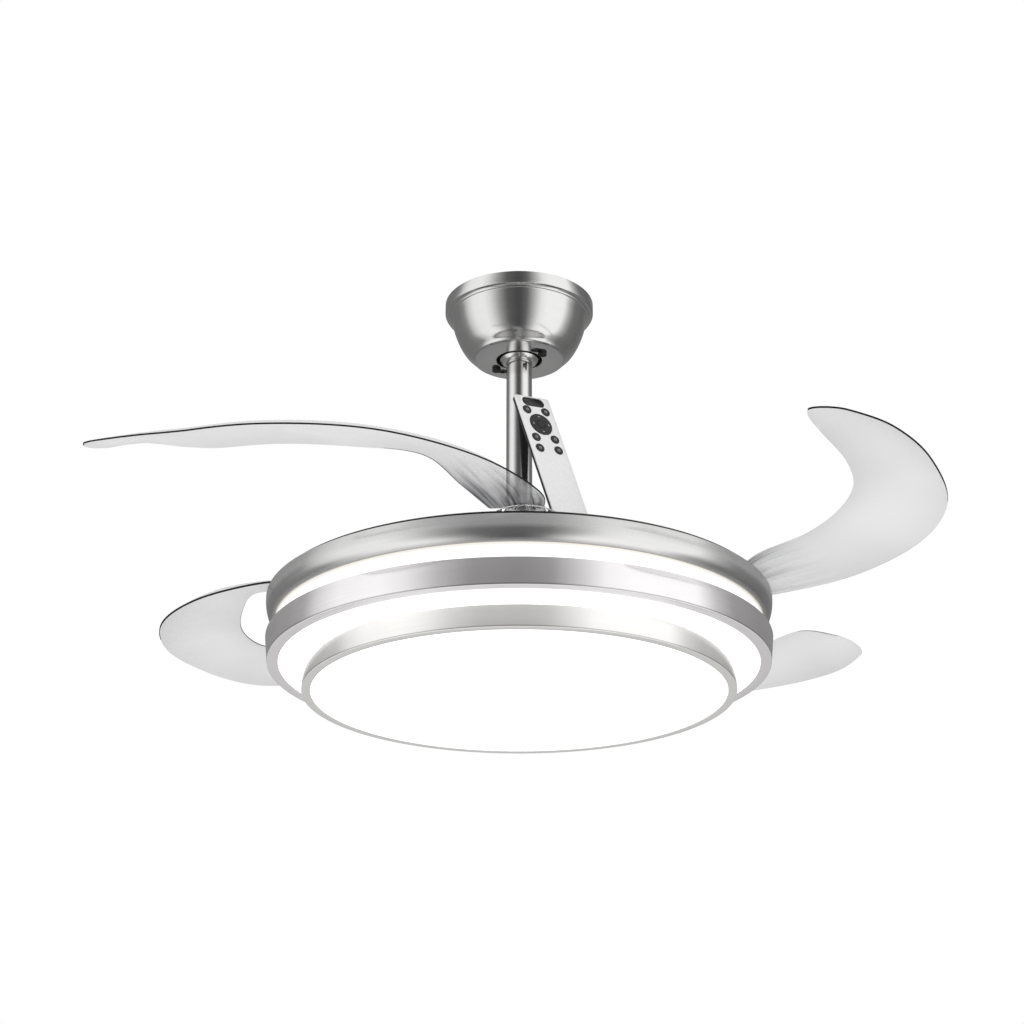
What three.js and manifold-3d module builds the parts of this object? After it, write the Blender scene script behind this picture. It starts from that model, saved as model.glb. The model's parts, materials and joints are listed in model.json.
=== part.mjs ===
// Ceiling fan with retracting blades and a built-in lamp, modelled with its slim remote control.
// Units are millimetres, +Z is up, and the origin is the middle of the bracket's ceiling face.
// The four clear blades are shown open. Each is a sickle that folds over the lamp like the leaf of
// an iris: its outer edge then follows the rim of the rotor disc.

import * as THREE from "three";
import { mergeVertices } from "three/addons/utils/BufferGeometryUtils.js";
import Module from "manifold-3d";

const wasm = await Module();
wasm.setup();

// ---- driving dimensions ----------------------------------------------------------------------

const CLEARANCE = 0.3; // between pieces that touch or fit in each other
const RUNNING_GAP = 1.2; // between the spinning and the still pieces
const BLADE_COUNT = 4;
const FIRST_PIVOT_ANGLE = -88.5;

// Canopy and ceiling bracket
const CANOPY_RIM_RADIUS = 78.9;
const CANOPY_RIM_HEIGHT = 13;
const CANOPY_GROOVE_RADIUS = 72;
const CANOPY_HEIGHT = 65;
const CANOPY_BASE_RADIUS = 44.5;
// Corners of the bowl under the groove, as radius and drop from the ceiling
const CANOPY_BOWL = [
  [71.5, 17.5],
  [69, 29],
  [64, 42.5],
  [57.5, 54],
  [49.5, 62],
];
const CANOPY_HOLE_RADIUS = 24;
const CANOPY_WALL = 1.5;
const BRACKET_HALF_LENGTH = 46;
const BRACKET_HALF_WIDTH = 26;
const BRACKET_PLATE = 2.5;
const BRACKET_SLOT_OFFSET = 30;
const BRACKET_SLOT_LENGTH = 14;
const BRACKET_SLOT_RADIUS = 3;
const SCREW_SHANK_RADIUS = 2.2;
const SCREW_HEAD_RADIUS = 4.6;
const SCREW_HEAD_HEIGHT = 2.6;
const CANOPY_SCREW_RADIUS = 30.8; // distance of the two screws from the rod's axis
const CANOPY_SCREW_ANGLE = 142;
const KEYHOLE_TURN = 17; // degrees between a keyhole's slot end and its wide end
const RECEIVER_SIZE = [54, 22, 18];

// Hanger ball, downrod and coupling
const BALL_RADIUS = 27;
const BALL_DROP = 40; // from the ceiling to the ball's centre
const BALL_TOP_CUT = 16; // flats above and below the centre
const BALL_BOTTOM_CUT = 20;
const ROD_RADIUS = 13.5;
const ROD_WALL = 2;
const ROD_LENGTH = 262; // from the ball's centre to the rod's lower end
const ROD_TOP_REACH = 27; // above the ball's centre
const PIN_RADIUS = 3;
const COUPLING_RADIUS = 20;
const COUPLING_SLEEVE = 26; // length that grips the rod
const COUPLING_NOSE = 20; // length that grips the motor shaft
const COUPLING_PIN_RADIUS = 4;

// Rotor: disc, hub and motor
const DISC_INSET = 5.4; // of its edge inside the pan's rim
const DISC_THICKNESS = 3;
const DISC_DROP = 35; // from the rod's lower end to the disc's top face
const NECK_RADIUS = 26;
const NECK_HEIGHT = 11;
const HUB_COVER_RADIUS = 54;
const HUB_COVER_HEIGHT = 40;
const HUB_COVER_SHOULDER = 20;
const HUB_COVER_WALL = 2;
const SHAFT_RADIUS = 10;
const BEARING_RADIUS = 17.5;
const BEARING_HEIGHT = 9;
const MOTOR_RADIUS = 80;
const MOTOR_HEIGHT = 40;
const MOTOR_WALL = 3;
const MAGNET_THICKNESS = 3;
const STATOR_HEIGHT = 18;
const STATOR_POLES = 12;

// Blades, as each lies folded: angle past its pivot, radius about the fan's axis, height over the disc
const PIVOT_RADIUS = 205;
const OPEN_ANGLE = 78;
const BLADE_THICKNESS = 2.4;
const BLADE_OUTER_EDGE = [
  [2, 225, 10.5],
  [12, 233, 15],
  [35, 231, 16],
  [60, 229, 18.5],
  [85, 225, 20],
  [110, 223, 23.5],
  [128, 228, 27.5],
  [140, 222, 33],
  [148, 211, 37.5],
];
const BLADE_INNER_EDGE = [
  [2, 181, 12],
  [14, 158, 31],
  [35, 157, 41],
  [60, 142, 39.5],
  [85, 140, 39.5],
  [108, 142, 42],
  [126, 143, 53],
  [138, 158, 55],
  [148, 204, 39],
];
const BLADE_CAMBER = [0, 5, 8, 9, 9, 8, 5, 2, 0]; // rise of the sheet's middle over its chord
const BLADE_STATIONS = 16;
const BLADE_STRIPS = 3;
const BOSS_RADIUS = 32;
const BOSS_STEP = 6.2;
const CROWN_RADIUS = 22; // of the boss above its step
const BOSS_HEIGHT = 13;
const PIVOT_SHANK_RADIUS = 6;
const PIVOT_HEAD_RADIUS = 11;
const PIVOT_HEAD_HEIGHT = 2.6;

// Synchronising gears
const GEAR_MODULE = 2.5;
const BLADE_GEAR_TEETH = 20;
const GEAR_THICKNESS = 4.2;
const GEAR_BACKLASH = 0.4;
const PRESSURE_ANGLE = 20;
const SYNC_GEAR_SETBACK = 0.8; // how much thinner it is than the blades' gears
const SYNC_RING_WIDTH = 14;
const SYNC_ARM_WIDTH = 16;
const SYNC_RIM_WIDTH = 9;
const SPRING_WIRE_RADIUS = 1.3;
const SPRING_PITCH = 3.4;
const SPRING_TURNS = 3.5;

// Drum: the top pan and the lamp under it
const PAN_RADIUS = 253.4;
const PAN_FLARE = 8.4; // how much wider its rim is than its foot
const PAN_HEIGHT = 23.4;
const SHEET = 1.5;
const PAN_WELL_GAP = 4; // round the motor
const SIDE_DIFFUSER_INSET = 1; // behind the pan's foot
const SIDE_BAND_HEIGHT = 17.7; // visible height of the lit band
const DIFFUSER_WALL = 2.2;
const MIDDLE_RING_OVERHANG = 8.5; // past the side diffuser
const MIDDLE_RING_TAPER = 2.5; // from its upper to its lower edge
const MIDDLE_RING_HEIGHT = 25.7;
const MIDDLE_LIP_WIDTH = 11.3;
const ANNULUS_WIDTH = 23.7; // between the two hoops
const LOWER_LIP_WIDTH = 9;
const LOWER_RING_HEIGHT = 21;
const ANNULUS_FALL = 6; // the sloping diffuser's drop between the two hoops
const CHASSIS_INSET = 15; // of its edge inside the lower hoop
const LED_BOARD_INNER_RADIUS = 60;
const LED_BOARD_INSET = 10; // of its edge inside the chassis's
const LED_BOARD_THICKNESS = 1.6;
const DRIVER_SIZE = [96, 44, 17];
const DRIVER_RADIUS = 125; // of its middle
const NUT_RADIUS = 17;
const NUT_HEIGHT = 6;

// Remote control
const REMOTE_WIDTH = 44;
const REMOTE_LENGTH = 150;
const REMOTE_THICKNESS = 8;
const REMOTE_FACE = 1.6;
const REMOTE_CORNER = 3;
const REMOTE_WALL = 1.5;
const REMOTE_TOP_DROP = 117.5; // from the ceiling to the middle of the remote's upper edge
const REMOTE_TOP_SHIFT = 8.5; // that point's distance to the right of the rod's axis
const REMOTE_ACROSS = [34.1, 24, 5]; // direction of its width, and of its length downwards
const REMOTE_DOWN = [38.4, -25.9, -137.9];
const BUTTON_RADIUS = 4.6;
const BUTTON_TRAVEL = 0.8;
const BUTTON_COLUMN = 11.8;
const BUTTON_ROWS = [19, 55, 69];
const PAD_RADIUS = 13.3;
const PAD_ROW = 37;
const CENTER_BUTTON_RADIUS = 4.4;
const WINDOW_ROW = 7.6;
const WINDOW_SIZE = [22, 9];
const KEY_FLANGE = 0.8;
const BOARD_LENGTH = 78;
const TRAY_SIZE = [25, 28];
const CELL_RADIUS = 10;
const CELL_THICKNESS = 3;
const MAGNET_RADIUS = 7;
const MAGNET_ROW = 14; // from the upper edge down to the magnet's middle
const MAGNET_REACH = 2.5; // how far the magnet stands out of the back

// Faces round each turned piece
const ROUND_LARGE = 40;
const ROUND_MEDIUM = 22;
const ROUND_SMALL = 12;
const KEY_FACES = 12;
const PAD_FACES = 20;

// ---- radii of the drum, from its rim inwards ---------------------------------------------------

const discRadius = PAN_RADIUS - DISC_INSET;
const panFootRadius = PAN_RADIUS - PAN_FLARE;
const sideDiffuserRadius = panFootRadius - SIDE_DIFFUSER_INSET;
const middleTopRadius = sideDiffuserRadius + MIDDLE_RING_OVERHANG;
const middleBaseRadius = middleTopRadius - MIDDLE_RING_TAPER;
const middleLipRadius = middleBaseRadius - MIDDLE_LIP_WIDTH;
const lowerRingRadius = middleLipRadius - ANNULUS_WIDTH;
const lowerLipRadius = lowerRingRadius - LOWER_LIP_WIDTH;
const chassisRadius = lowerRingRadius - CHASSIS_INSET;
const ledBoardRadius = chassisRadius - LED_BOARD_INSET;

// ---- heights that follow from them -----------------------------------------------------------

const rodEnd = -(BALL_DROP + ROD_LENGTH);
const discTop = rodEnd - DISC_DROP;
const discBottom = discTop - DISC_THICKNESS;
const panTop = discBottom - RUNNING_GAP;
const panBottom = panTop - PAN_HEIGHT;
const middleTop = panBottom - SIDE_BAND_HEIGHT;
const middleBottom = middleTop - MIDDLE_RING_HEIGHT;
const lowerTop = middleBottom - ANNULUS_FALL;
const drumBottom = lowerTop - LOWER_RING_HEIGHT;
const motorTop = discBottom - CLEARANCE;
const motorBottom = motorTop - MOTOR_HEIGHT;
const wellFloor = motorBottom - PAN_WELL_GAP + RUNNING_GAP;
const gearBottom = discTop + CLEARANCE;
const gearTop = gearBottom + GEAR_THICKNESS;
const syncTop = gearTop - SYNC_GEAR_SETBACK;
const bossBottom = gearTop + CLEARANCE;
const bossTop = bossBottom + BOSS_HEIGHT;
const ballCentre = -BALL_DROP;
const radians = THREE.MathUtils.degToRad;

// ---- geometry helpers ------------------------------------------------------------------------

function toSolid(geometry) {
  const bare = geometry.index ? geometry.toNonIndexed() : geometry.clone();
  for (const name of Object.keys(bare.attributes)) {
    if (name !== "position") bare.deleteAttribute(name);
  }
  const merged = mergeVertices(bare, 1e-4);
  return new wasm.Manifold(
    new wasm.Mesh({
      numProp: 3,
      vertProperties: merged.attributes.position.array,
      triVerts: new Uint32Array(merged.index.array),
    }),
  );
}

function toGeometry(solid) {
  const mesh = solid.getMesh();
  return new THREE.BufferGeometry()
    .setAttribute("position", new THREE.BufferAttribute(mesh.vertProperties, 3))
    .setIndex(new THREE.BufferAttribute(mesh.triVerts, 1));
}

function join(...geometries) {
  return toGeometry(geometries.map(toSolid).reduce((a, b) => a.add(b)));
}

function cut(geometry, ...tools) {
  return toGeometry(tools.map(toSolid).reduce((a, b) => a.subtract(b), toSolid(geometry)));
}

// Turns a profile of [radius, height] corners round the Z axis. A corner list that doesn't start
// and end on the axis is closed on itself.
function turned(corners, faces = ROUND_MEDIUM) {
  let area = 0;
  corners.forEach(([r, z], i) => {
    const [nextR, nextZ] = corners[(i + 1) % corners.length];
    area += r * nextZ - nextR * z;
  });
  const points = corners.map(([r, z]) => new THREE.Vector2(r, z));
  const onAxis = corners[0][0] === 0 && corners[corners.length - 1][0] === 0;
  if (!onAxis) points.push(points[0].clone());
  if (area < 0) points.reverse();
  return new THREE.LatheGeometry(points, faces).rotateX(Math.PI / 2);
}

function ring(inner, outer, bottom, top, faces = ROUND_MEDIUM) {
  const corners = [
    [inner, bottom],
    [outer, bottom],
    [outer, top],
    [inner, top],
  ];
  return turned(corners, faces);
}

function disc(radius, bottom, top, faces = ROUND_SMALL) {
  return new THREE.CylinderGeometry(radius, radius, top - bottom, faces)
    .rotateX(Math.PI / 2)
    .translate(0, 0, (top + bottom) / 2);
}

function block(sizeX, sizeY, bottom, top) {
  return new THREE.BoxGeometry(sizeX, sizeY, top - bottom).translate(0, 0, (top + bottom) / 2);
}

function slab(shape, bottom, top, curveSegments = 6) {
  const options = { depth: top - bottom, bevelEnabled: false, curveSegments };
  return new THREE.ExtrudeGeometry(shape, options).translate(0, 0, bottom);
}

function polar(radius, degrees) {
  return new THREE.Vector2(radius * Math.cos(radians(degrees)), radius * Math.sin(radians(degrees)));
}

// A rectangle with round corners, centred on the origin.
function roundedRectangle(width, height, corner) {
  const x = width / 2;
  const y = height / 2;
  const shape = new THREE.Shape();
  shape.moveTo(-x + corner, -y);
  shape.lineTo(x - corner, -y);
  shape.absarc(x - corner, -y + corner, corner, -Math.PI / 2, 0, false);
  shape.absarc(x - corner, y - corner, corner, 0, Math.PI / 2, false);
  shape.absarc(-x + corner, y - corner, corner, Math.PI / 2, Math.PI, false);
  shape.absarc(-x + corner, -y + corner, corner, Math.PI, 1.5 * Math.PI, false);
  return shape;
}

// ---- materials -------------------------------------------------------------------------------

function finish(color, roughness, metalness, opacity = 1) {
  const material = new THREE.MeshStandardMaterial({ color, roughness, metalness });
  material.opacity = opacity;
  material.transparent = opacity < 1;
  return material;
}

const nickel = finish(0xb4b2b0, 0.32, 1);
const steel = finish(0x9a9a98, 0.4, 1);
const blackSteel = finish(0x17171a, 0.5, 0.6);
const clearPlastic = finish(0xe9ebee, 0.08, 0, 0.35);
const opalPlastic = finish(0xffffff, 0.45, 0);
const whitePaint = finish(0xf0f0ee, 0.5, 0);
const nylon = finish(0xdcdcd8, 0.55, 0);
const copper = finish(0xa85a2c, 0.45, 0.8);
const silverPlastic = finish(0xd8d8da, 0.35, 0.4);
const blackPlastic = finish(0x1a1a1c, 0.45, 0);
const boardGreen = finish(0x2c5f41, 0.6, 0);

// ---- scene graph -----------------------------------------------------------------------------

const fan = new THREE.Group();
const rotor = new THREE.Group();
const remote = new THREE.Group();
fan.add(rotor, remote);

function piece(name, geometry, material, parent = fan) {
  const mesh = new THREE.Mesh(geometry, material);
  mesh.name = name;
  parent.add(mesh);
  return mesh;
}

// ---- ceiling bracket and canopy --------------------------------------------------------------

const bracketFloor = -Math.round(BALL_DROP + 0.66 * BALL_RADIUS);

function ceilingBracket() {
  const length = 2 * BRACKET_HALF_LENGTH;
  const width = 2 * BRACKET_HALF_WIDTH;
  const legX = BRACKET_HALF_LENGTH - BRACKET_PLATE / 2;
  const seatTop = bracketFloor + BRACKET_PLATE;
  const topPlate = slab(roundedRectangle(length, width, 6), -BRACKET_PLATE, 0, 3);
  const shelf = block(RECEIVER_SIZE[0] / 2, RECEIVER_SIZE[1] + 8, -BRACKET_PLATE, 0);
  shelf.translate(0, BRACKET_HALF_WIDTH, 0);
  const floor = slab(roundedRectangle(length, width, 10), bracketFloor, seatTop, 3);
  const legs = [-legX, legX].map((x) =>
    block(BRACKET_PLATE, width - 16, bracketFloor + 1, -1).translate(x, 0, 0),
  );
  const seatRadius = Math.sqrt(BALL_RADIUS ** 2 - (ballCentre - seatTop) ** 2) + CLEARANCE;
  const seat = disc(seatRadius, bracketFloor - 1, seatTop + 1, 20);
  const slotEnd = BRACKET_SLOT_RADIUS;
  const slot = roundedRectangle(BRACKET_SLOT_LENGTH, 2 * slotEnd, slotEnd - 0.02);
  const slots = [-BRACKET_SLOT_OFFSET, BRACKET_SLOT_OFFSET].map((x) =>
    slab(slot, -BRACKET_PLATE - 1, 1, 3).translate(x, 0, 0),
  );
  const screwHoles = [0, 180].map((turn) => {
    const at = polar(CANOPY_SCREW_RADIUS, CANOPY_SCREW_ANGLE + turn);
    const hole = disc(SCREW_SHANK_RADIUS + CLEARANCE, bracketFloor - 1, seatTop + 1, 8);
    return hole.translate(at.x, at.y, 0);
  });
  return cut(join(topPlate, shelf, floor, ...legs), seat, ...slots, ...screwHoles);
}

function canopy() {
  const rim = CANOPY_RIM_RADIUS;
  const top = -CLEARANCE;
  const bowlInside = CANOPY_BOWL.map(([radius, drop], i) => {
    const turn = i / (CANOPY_BOWL.length - 1);
    return [radius - CANOPY_WALL, -drop + CANOPY_WALL * turn];
  });
  const outer = [
    [rim, top],
    [rim, -CANOPY_RIM_HEIGHT + 2],
    [rim - 2, -CANOPY_RIM_HEIGHT],
    [CANOPY_GROOVE_RADIUS + 1, -CANOPY_RIM_HEIGHT - 1],
    ...CANOPY_BOWL.map(([radius, drop]) => [radius, -drop]),
    [CANOPY_BASE_RADIUS, -CANOPY_HEIGHT],
    [CANOPY_HOLE_RADIUS, -CANOPY_HEIGHT],
  ];
  const inner = [
    [CANOPY_HOLE_RADIUS, -CANOPY_HEIGHT + CANOPY_WALL],
    [CANOPY_BASE_RADIUS - CANOPY_WALL, -CANOPY_HEIGHT + CANOPY_WALL],
    ...bowlInside.filter((_, i) => i % 2 === 0).reverse(),
    [CANOPY_GROOVE_RADIUS - 1, -CANOPY_RIM_HEIGHT],
    [rim - CANOPY_WALL - 1.5, -CANOPY_RIM_HEIGHT + 1.8],
    [rim - CANOPY_WALL, top],
  ];
  const shell = turned([...outer, ...inner], 26);
  const keyholes = [0, 180].flatMap((turn) => {
    const slot = [];
    for (let step = 0; step <= 2; step += 1) {
      const angle = CANOPY_SCREW_ANGLE + turn - (KEYHOLE_TURN * step) / 2;
      const at = polar(CANOPY_SCREW_RADIUS, angle);
      const radius = step === 2 ? SCREW_HEAD_RADIUS + 0.6 : SCREW_SHANK_RADIUS + 0.5;
      const tool = disc(radius, -CANOPY_HEIGHT - 1, -CANOPY_HEIGHT + CANOPY_WALL + 1, 8);
      slot.push(tool.translate(at.x, at.y, 0));
    }
    return slot;
  });
  return cut(shell, ...keyholes);
}

function canopyScrew() {
  const headTop = -CANOPY_HEIGHT - CLEARANCE;
  const head = disc(SCREW_HEAD_RADIUS, headTop - SCREW_HEAD_HEIGHT, headTop, 12);
  const shankTop = bracketFloor + BRACKET_PLATE + 3;
  const shank = disc(SCREW_SHANK_RADIUS, headTop - 1, shankTop, 8);
  return join(head, shank);
}

function hangerBall() {
  const ball = new THREE.SphereGeometry(BALL_RADIUS, 18, 9).rotateX(Math.PI / 2);
  const reach = 2 * BALL_RADIUS;
  const topFlat = block(2 * reach, 2 * reach, BALL_TOP_CUT, reach);
  const bottomFlat = block(2 * reach, 2 * reach, -reach, -BALL_BOTTOM_CUT);
  const bore = disc(ROD_RADIUS + CLEARANCE, -reach, reach, 20);
  return cut(ball, topFlat, bottomFlat, bore).translate(0, 0, ballCentre);
}

const hangerPinHeight = ballCentre + BALL_TOP_CUT + PIN_RADIUS + CLEARANCE;
const couplingPinHeight = rodEnd + COUPLING_SLEEVE / 2;

function pinAcross(radius, length, height, faces = 10) {
  return new THREE.CylinderGeometry(radius, radius, length, faces)
    .rotateZ(Math.PI / 2)
    .translate(0, 0, height);
}

function downrod() {
  const top = ballCentre + ROD_TOP_REACH;
  const tube = ring(ROD_RADIUS - ROD_WALL, ROD_RADIUS, rodEnd, top, 20);
  const upperHole = pinAcross(PIN_RADIUS + CLEARANCE, 3 * ROD_RADIUS, hangerPinHeight);
  const lowerHole = pinAcross(COUPLING_PIN_RADIUS + CLEARANCE, 3 * ROD_RADIUS, couplingPinHeight);
  return cut(tube, upperHole, lowerHole);
}

function rodCoupling() {
  const top = rodEnd + COUPLING_SLEEVE;
  const bottom = rodEnd - COUPLING_NOSE;
  const web = rodEnd - CLEARANCE;
  const corners = [
    [SHAFT_RADIUS + CLEARANCE, bottom],
    [COUPLING_RADIUS - 3, bottom],
    [COUPLING_RADIUS, bottom + 4],
    [COUPLING_RADIUS, top - 2],
    [COUPLING_RADIUS - 2, top],
    [ROD_RADIUS + CLEARANCE, top],
    [ROD_RADIUS + CLEARANCE, web],
    [SHAFT_RADIUS + CLEARANCE, web],
  ];
  const body = turned(corners, 18);
  const radius = COUPLING_PIN_RADIUS + CLEARANCE;
  return cut(body, pinAcross(radius, 3 * COUPLING_RADIUS, couplingPinHeight));
}

function couplingPin() {
  const shank = pinAcross(COUPLING_PIN_RADIUS, 2 * COUPLING_RADIUS + 6, couplingPinHeight);
  const head = pinAcross(COUPLING_PIN_RADIUS + 2, 3, couplingPinHeight);
  head.translate(COUPLING_RADIUS + 2.2, 0, 0);
  return join(shank, head);
}

piece("ceiling_bracket", ceilingBracket(), steel);
piece("canopy", canopy(), nickel);
[0, 180].forEach((turn, i) => {
  const at = polar(CANOPY_SCREW_RADIUS, CANOPY_SCREW_ANGLE + turn);
  piece(`canopy_screw_${i + 1}`, canopyScrew(), steel).position.set(at.x, at.y, 0);
});
const receiverTop = -BRACKET_PLATE - CLEARANCE;
const [receiverX, receiverY, receiverZ] = RECEIVER_SIZE;
const receiverBox = slab(roundedRectangle(receiverX, receiverY, 3), receiverTop - receiverZ, receiverTop, 3);
const receiverShift = BRACKET_HALF_WIDTH + receiverY / 2 - 6;
piece("receiver", receiverBox, blackPlastic).position.y = receiverShift;
piece("hanger_ball", hangerBall(), blackPlastic);
piece("hanger_pin", pinAcross(PIN_RADIUS, 46, hangerPinHeight), steel);
piece("downrod", downrod(), nickel);
piece("rod_coupling", rodCoupling(), nickel);
piece("coupling_pin", couplingPin(), steel);

// ---- motor -----------------------------------------------------------------------------------

const shaftFlangeTop = wellFloor - SHEET - CLEARANCE;
const shaftFlangeBottom = shaftFlangeTop - 2.5;
const chassisTop = shaftFlangeBottom - CLEARANCE;
const chassisBottom = chassisTop - SHEET;
const nutBottom = chassisBottom - CLEARANCE - NUT_HEIGHT;
const upperBearingTop = discTop + NECK_HEIGHT - 1;
const upperBearingBottom = upperBearingTop - BEARING_HEIGHT;
const lowerBearingBottom = motorBottom;
const lowerBearingTop = lowerBearingBottom + BEARING_HEIGHT;
const statorTop = (motorTop + motorBottom + STATOR_HEIGHT) / 2;
const statorBottom = statorTop - STATOR_HEIGHT;

function motorShaft() {
  const top = rodEnd - CLEARANCE - 3;
  const corners = [
    [5, nutBottom - 2],
    [SHAFT_RADIUS, nutBottom - 2],
    [SHAFT_RADIUS, shaftFlangeBottom],
    [SHAFT_RADIUS + 8, shaftFlangeBottom],
    [SHAFT_RADIUS + 8, shaftFlangeTop],
    [SHAFT_RADIUS, shaftFlangeTop],
    [SHAFT_RADIUS, top],
    [5, top],
  ];
  return turned(corners, 16);
}

// A stack of poles on a round core. Each pole ends in a shoe that faces the magnets.
function stator() {
  const shoeRadius = MOTOR_RADIUS - MOTOR_WALL - MAGNET_THICKNESS - RUNNING_GAP;
  const coreRadius = 0.5 * shoeRadius;
  const pitch = 360 / STATOR_POLES;
  const shape = new THREE.Shape();
  const corners = [];
  for (let i = 0; i < STATOR_POLES; i += 1) {
    const angle = i * pitch;
    corners.push(polar(coreRadius, angle - 0.28 * pitch));
    corners.push(polar(shoeRadius - 5, angle - 0.14 * pitch));
    corners.push(polar(shoeRadius - 3, angle - 0.42 * pitch));
    corners.push(polar(shoeRadius, angle - 0.42 * pitch));
    corners.push(polar(shoeRadius, angle + 0.42 * pitch));
    corners.push(polar(shoeRadius - 3, angle + 0.42 * pitch));
    corners.push(polar(shoeRadius - 5, angle + 0.14 * pitch));
    corners.push(polar(coreRadius, angle + 0.28 * pitch));
  }
  shape.setFromPoints(corners);
  const bore = new THREE.Path();
  bore.absarc(0, 0, SHAFT_RADIUS + CLEARANCE, 0, 2 * Math.PI, true);
  shape.holes.push(bore);
  return slab(shape, statorBottom, statorTop, 8);
}

function rotorHousing() {
  const bore = BEARING_RADIUS + CLEARANCE;
  const plateBottom = motorTop - MOTOR_WALL;
  const magnetTop = statorTop + 2;
  const magnetBottom = statorBottom - 2;
  const magnetRadius = MOTOR_RADIUS - MOTOR_WALL - MAGNET_THICKNESS;
  const corners = [
    [bore, upperBearingBottom - CLEARANCE],
    [bore, discTop + NECK_HEIGHT],
    [NECK_RADIUS, discTop + NECK_HEIGHT],
    [NECK_RADIUS, motorTop],
    [MOTOR_RADIUS, motorTop],
    [MOTOR_RADIUS, motorBottom + MOTOR_WALL + CLEARANCE],
    [MOTOR_RADIUS - MOTOR_WALL, motorBottom + MOTOR_WALL + CLEARANCE],
    [MOTOR_RADIUS - MOTOR_WALL, magnetBottom],
    [magnetRadius, magnetBottom],
    [magnetRadius, magnetTop],
    [MOTOR_RADIUS - MOTOR_WALL, magnetTop],
    [MOTOR_RADIUS - MOTOR_WALL, plateBottom],
    [SHAFT_RADIUS + 3, plateBottom],
    [SHAFT_RADIUS + 3, upperBearingBottom - CLEARANCE],
  ];
  return turned(corners, ROUND_MEDIUM);
}

function rotorBase() {
  const bore = BEARING_RADIUS + CLEARANCE;
  const top = motorBottom + MOTOR_WALL;
  const corners = [
    [bore, motorBottom],
    [MOTOR_RADIUS, motorBottom],
    [MOTOR_RADIUS, top],
    [bore + 5, top],
    [bore + 5, lowerBearingTop + SHEET],
    [SHAFT_RADIUS + 3, lowerBearingTop + SHEET],
    [SHAFT_RADIUS + 3, lowerBearingTop + CLEARANCE],
    [bore, lowerBearingTop + CLEARANCE],
  ];
  return turned(corners, ROUND_MEDIUM);
}

function bearing(bottom) {
  return ring(SHAFT_RADIUS + CLEARANCE, BEARING_RADIUS, bottom, bottom + BEARING_HEIGHT, 16);
}

piece("motor_shaft", motorShaft(), steel);
piece("stator", stator(), copper);
piece("rotor_housing", rotorHousing(), steel, rotor);
piece("rotor_base", rotorBase(), steel, rotor);
piece("bearing_upper", bearing(upperBearingBottom), steel, rotor);
piece("bearing_lower", bearing(lowerBearingBottom), steel, rotor);

// ---- rotor disc, hub cover and return spring -------------------------------------------------

function rotorDisc() {
  const plate = ring(NECK_RADIUS + CLEARANCE, discRadius, discBottom, discTop, ROUND_LARGE);
  const holes = [];
  for (let i = 0; i < BLADE_COUNT; i += 1) {
    const pivot = polar(PIVOT_RADIUS, pivotAngle(i));
    const hole = disc(PIVOT_SHANK_RADIUS + CLEARANCE, discBottom - 1, discTop + 1, 12);
    holes.push(hole.translate(pivot.x, pivot.y, 0));
    const window = polar(0.55 * PIVOT_RADIUS, pivotAngle(i) + 180 / BLADE_COUNT);
    holes.push(disc(24, discBottom - 1, discTop + 1, 12).translate(window.x, window.y, 0));
  }
  return cut(plate, ...holes);
}

function pivotAngle(i) {
  return FIRST_PIVOT_ANGLE + (360 / BLADE_COUNT) * i;
}

function hubCover() {
  const skirt = HUB_COVER_RADIUS;
  const wall = HUB_COVER_WALL;
  const bottom = discTop + CLEARANCE;
  const shoulder = discTop + HUB_COVER_SHOULDER;
  const top = discTop + HUB_COVER_HEIGHT;
  const collar = COUPLING_RADIUS + RUNNING_GAP;
  const outer = [
    [skirt, bottom],
    [skirt, shoulder - 6],
    [skirt - 4, shoulder],
    [0.5 * (skirt + collar), shoulder + 7],
    [collar + wall + 2, top - 6],
    [collar + wall, top],
  ];
  const inner = [
    [collar, top],
    [collar, top - 8],
    [0.5 * (skirt + collar) - wall, shoulder + 5],
    [skirt - 4 - wall, shoulder - 2],
    [skirt - wall, shoulder - 7],
    [skirt - wall, bottom],
  ];
  const shell = turned([...outer, ...inner], ROUND_MEDIUM);
  const windows = [];
  for (let i = 0; i < BLADE_COUNT; i += 1) {
    const angle = radians(pivotAngle(i) + syncTravel / 2);
    const width = SYNC_ARM_WIDTH + 2 * skirt * Math.sin(radians(syncTravel / 2)) + 6;
    const tool = block(20, width, bottom - 1, gearTop + 1).translate(skirt, 0, 0);
    windows.push(tool.rotateZ(angle));
  }
  return cut(shell, ...windows);
}

// Coil of round wire with straight ends: one unbroken tube.
function returnSpring() {
  const coilRadius = NECK_RADIUS + 2 * SPRING_WIRE_RADIUS + 2.4;
  const start = syncTop + CLEARANCE + SPRING_WIRE_RADIUS;
  const steps = Math.round(8 * SPRING_TURNS);
  const route = [];
  for (let i = 0; i <= steps; i += 1) {
    const angle = (360 * i) / 8;
    const at = polar(coilRadius, angle);
    route.push(new THREE.Vector3(at.x, at.y, start + (SPRING_PITCH * angle) / 360));
  }
  const lead = new THREE.Vector3(0, -2 * SPRING_WIRE_RADIUS, 0).add(route[0]);
  const last = route[steps];
  const leaving = last.clone().sub(route[steps - 1]).setZ(0).normalize();
  const tail = last.clone().addScaledVector(leaving, 2 * SPRING_WIRE_RADIUS);
  const wire = new THREE.Shape();
  wire.absarc(0, 0, SPRING_WIRE_RADIUS, 0, 2 * Math.PI, false);
  const path = new THREE.CatmullRomCurve3([lead, ...route, tail]);
  const options = { steps: steps + 2, extrudePath: path, curveSegments: 3, bevelEnabled: false };
  return new THREE.ExtrudeGeometry(wire, options);
}

// ---- synchronising gears ---------------------------------------------------------------------

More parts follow.
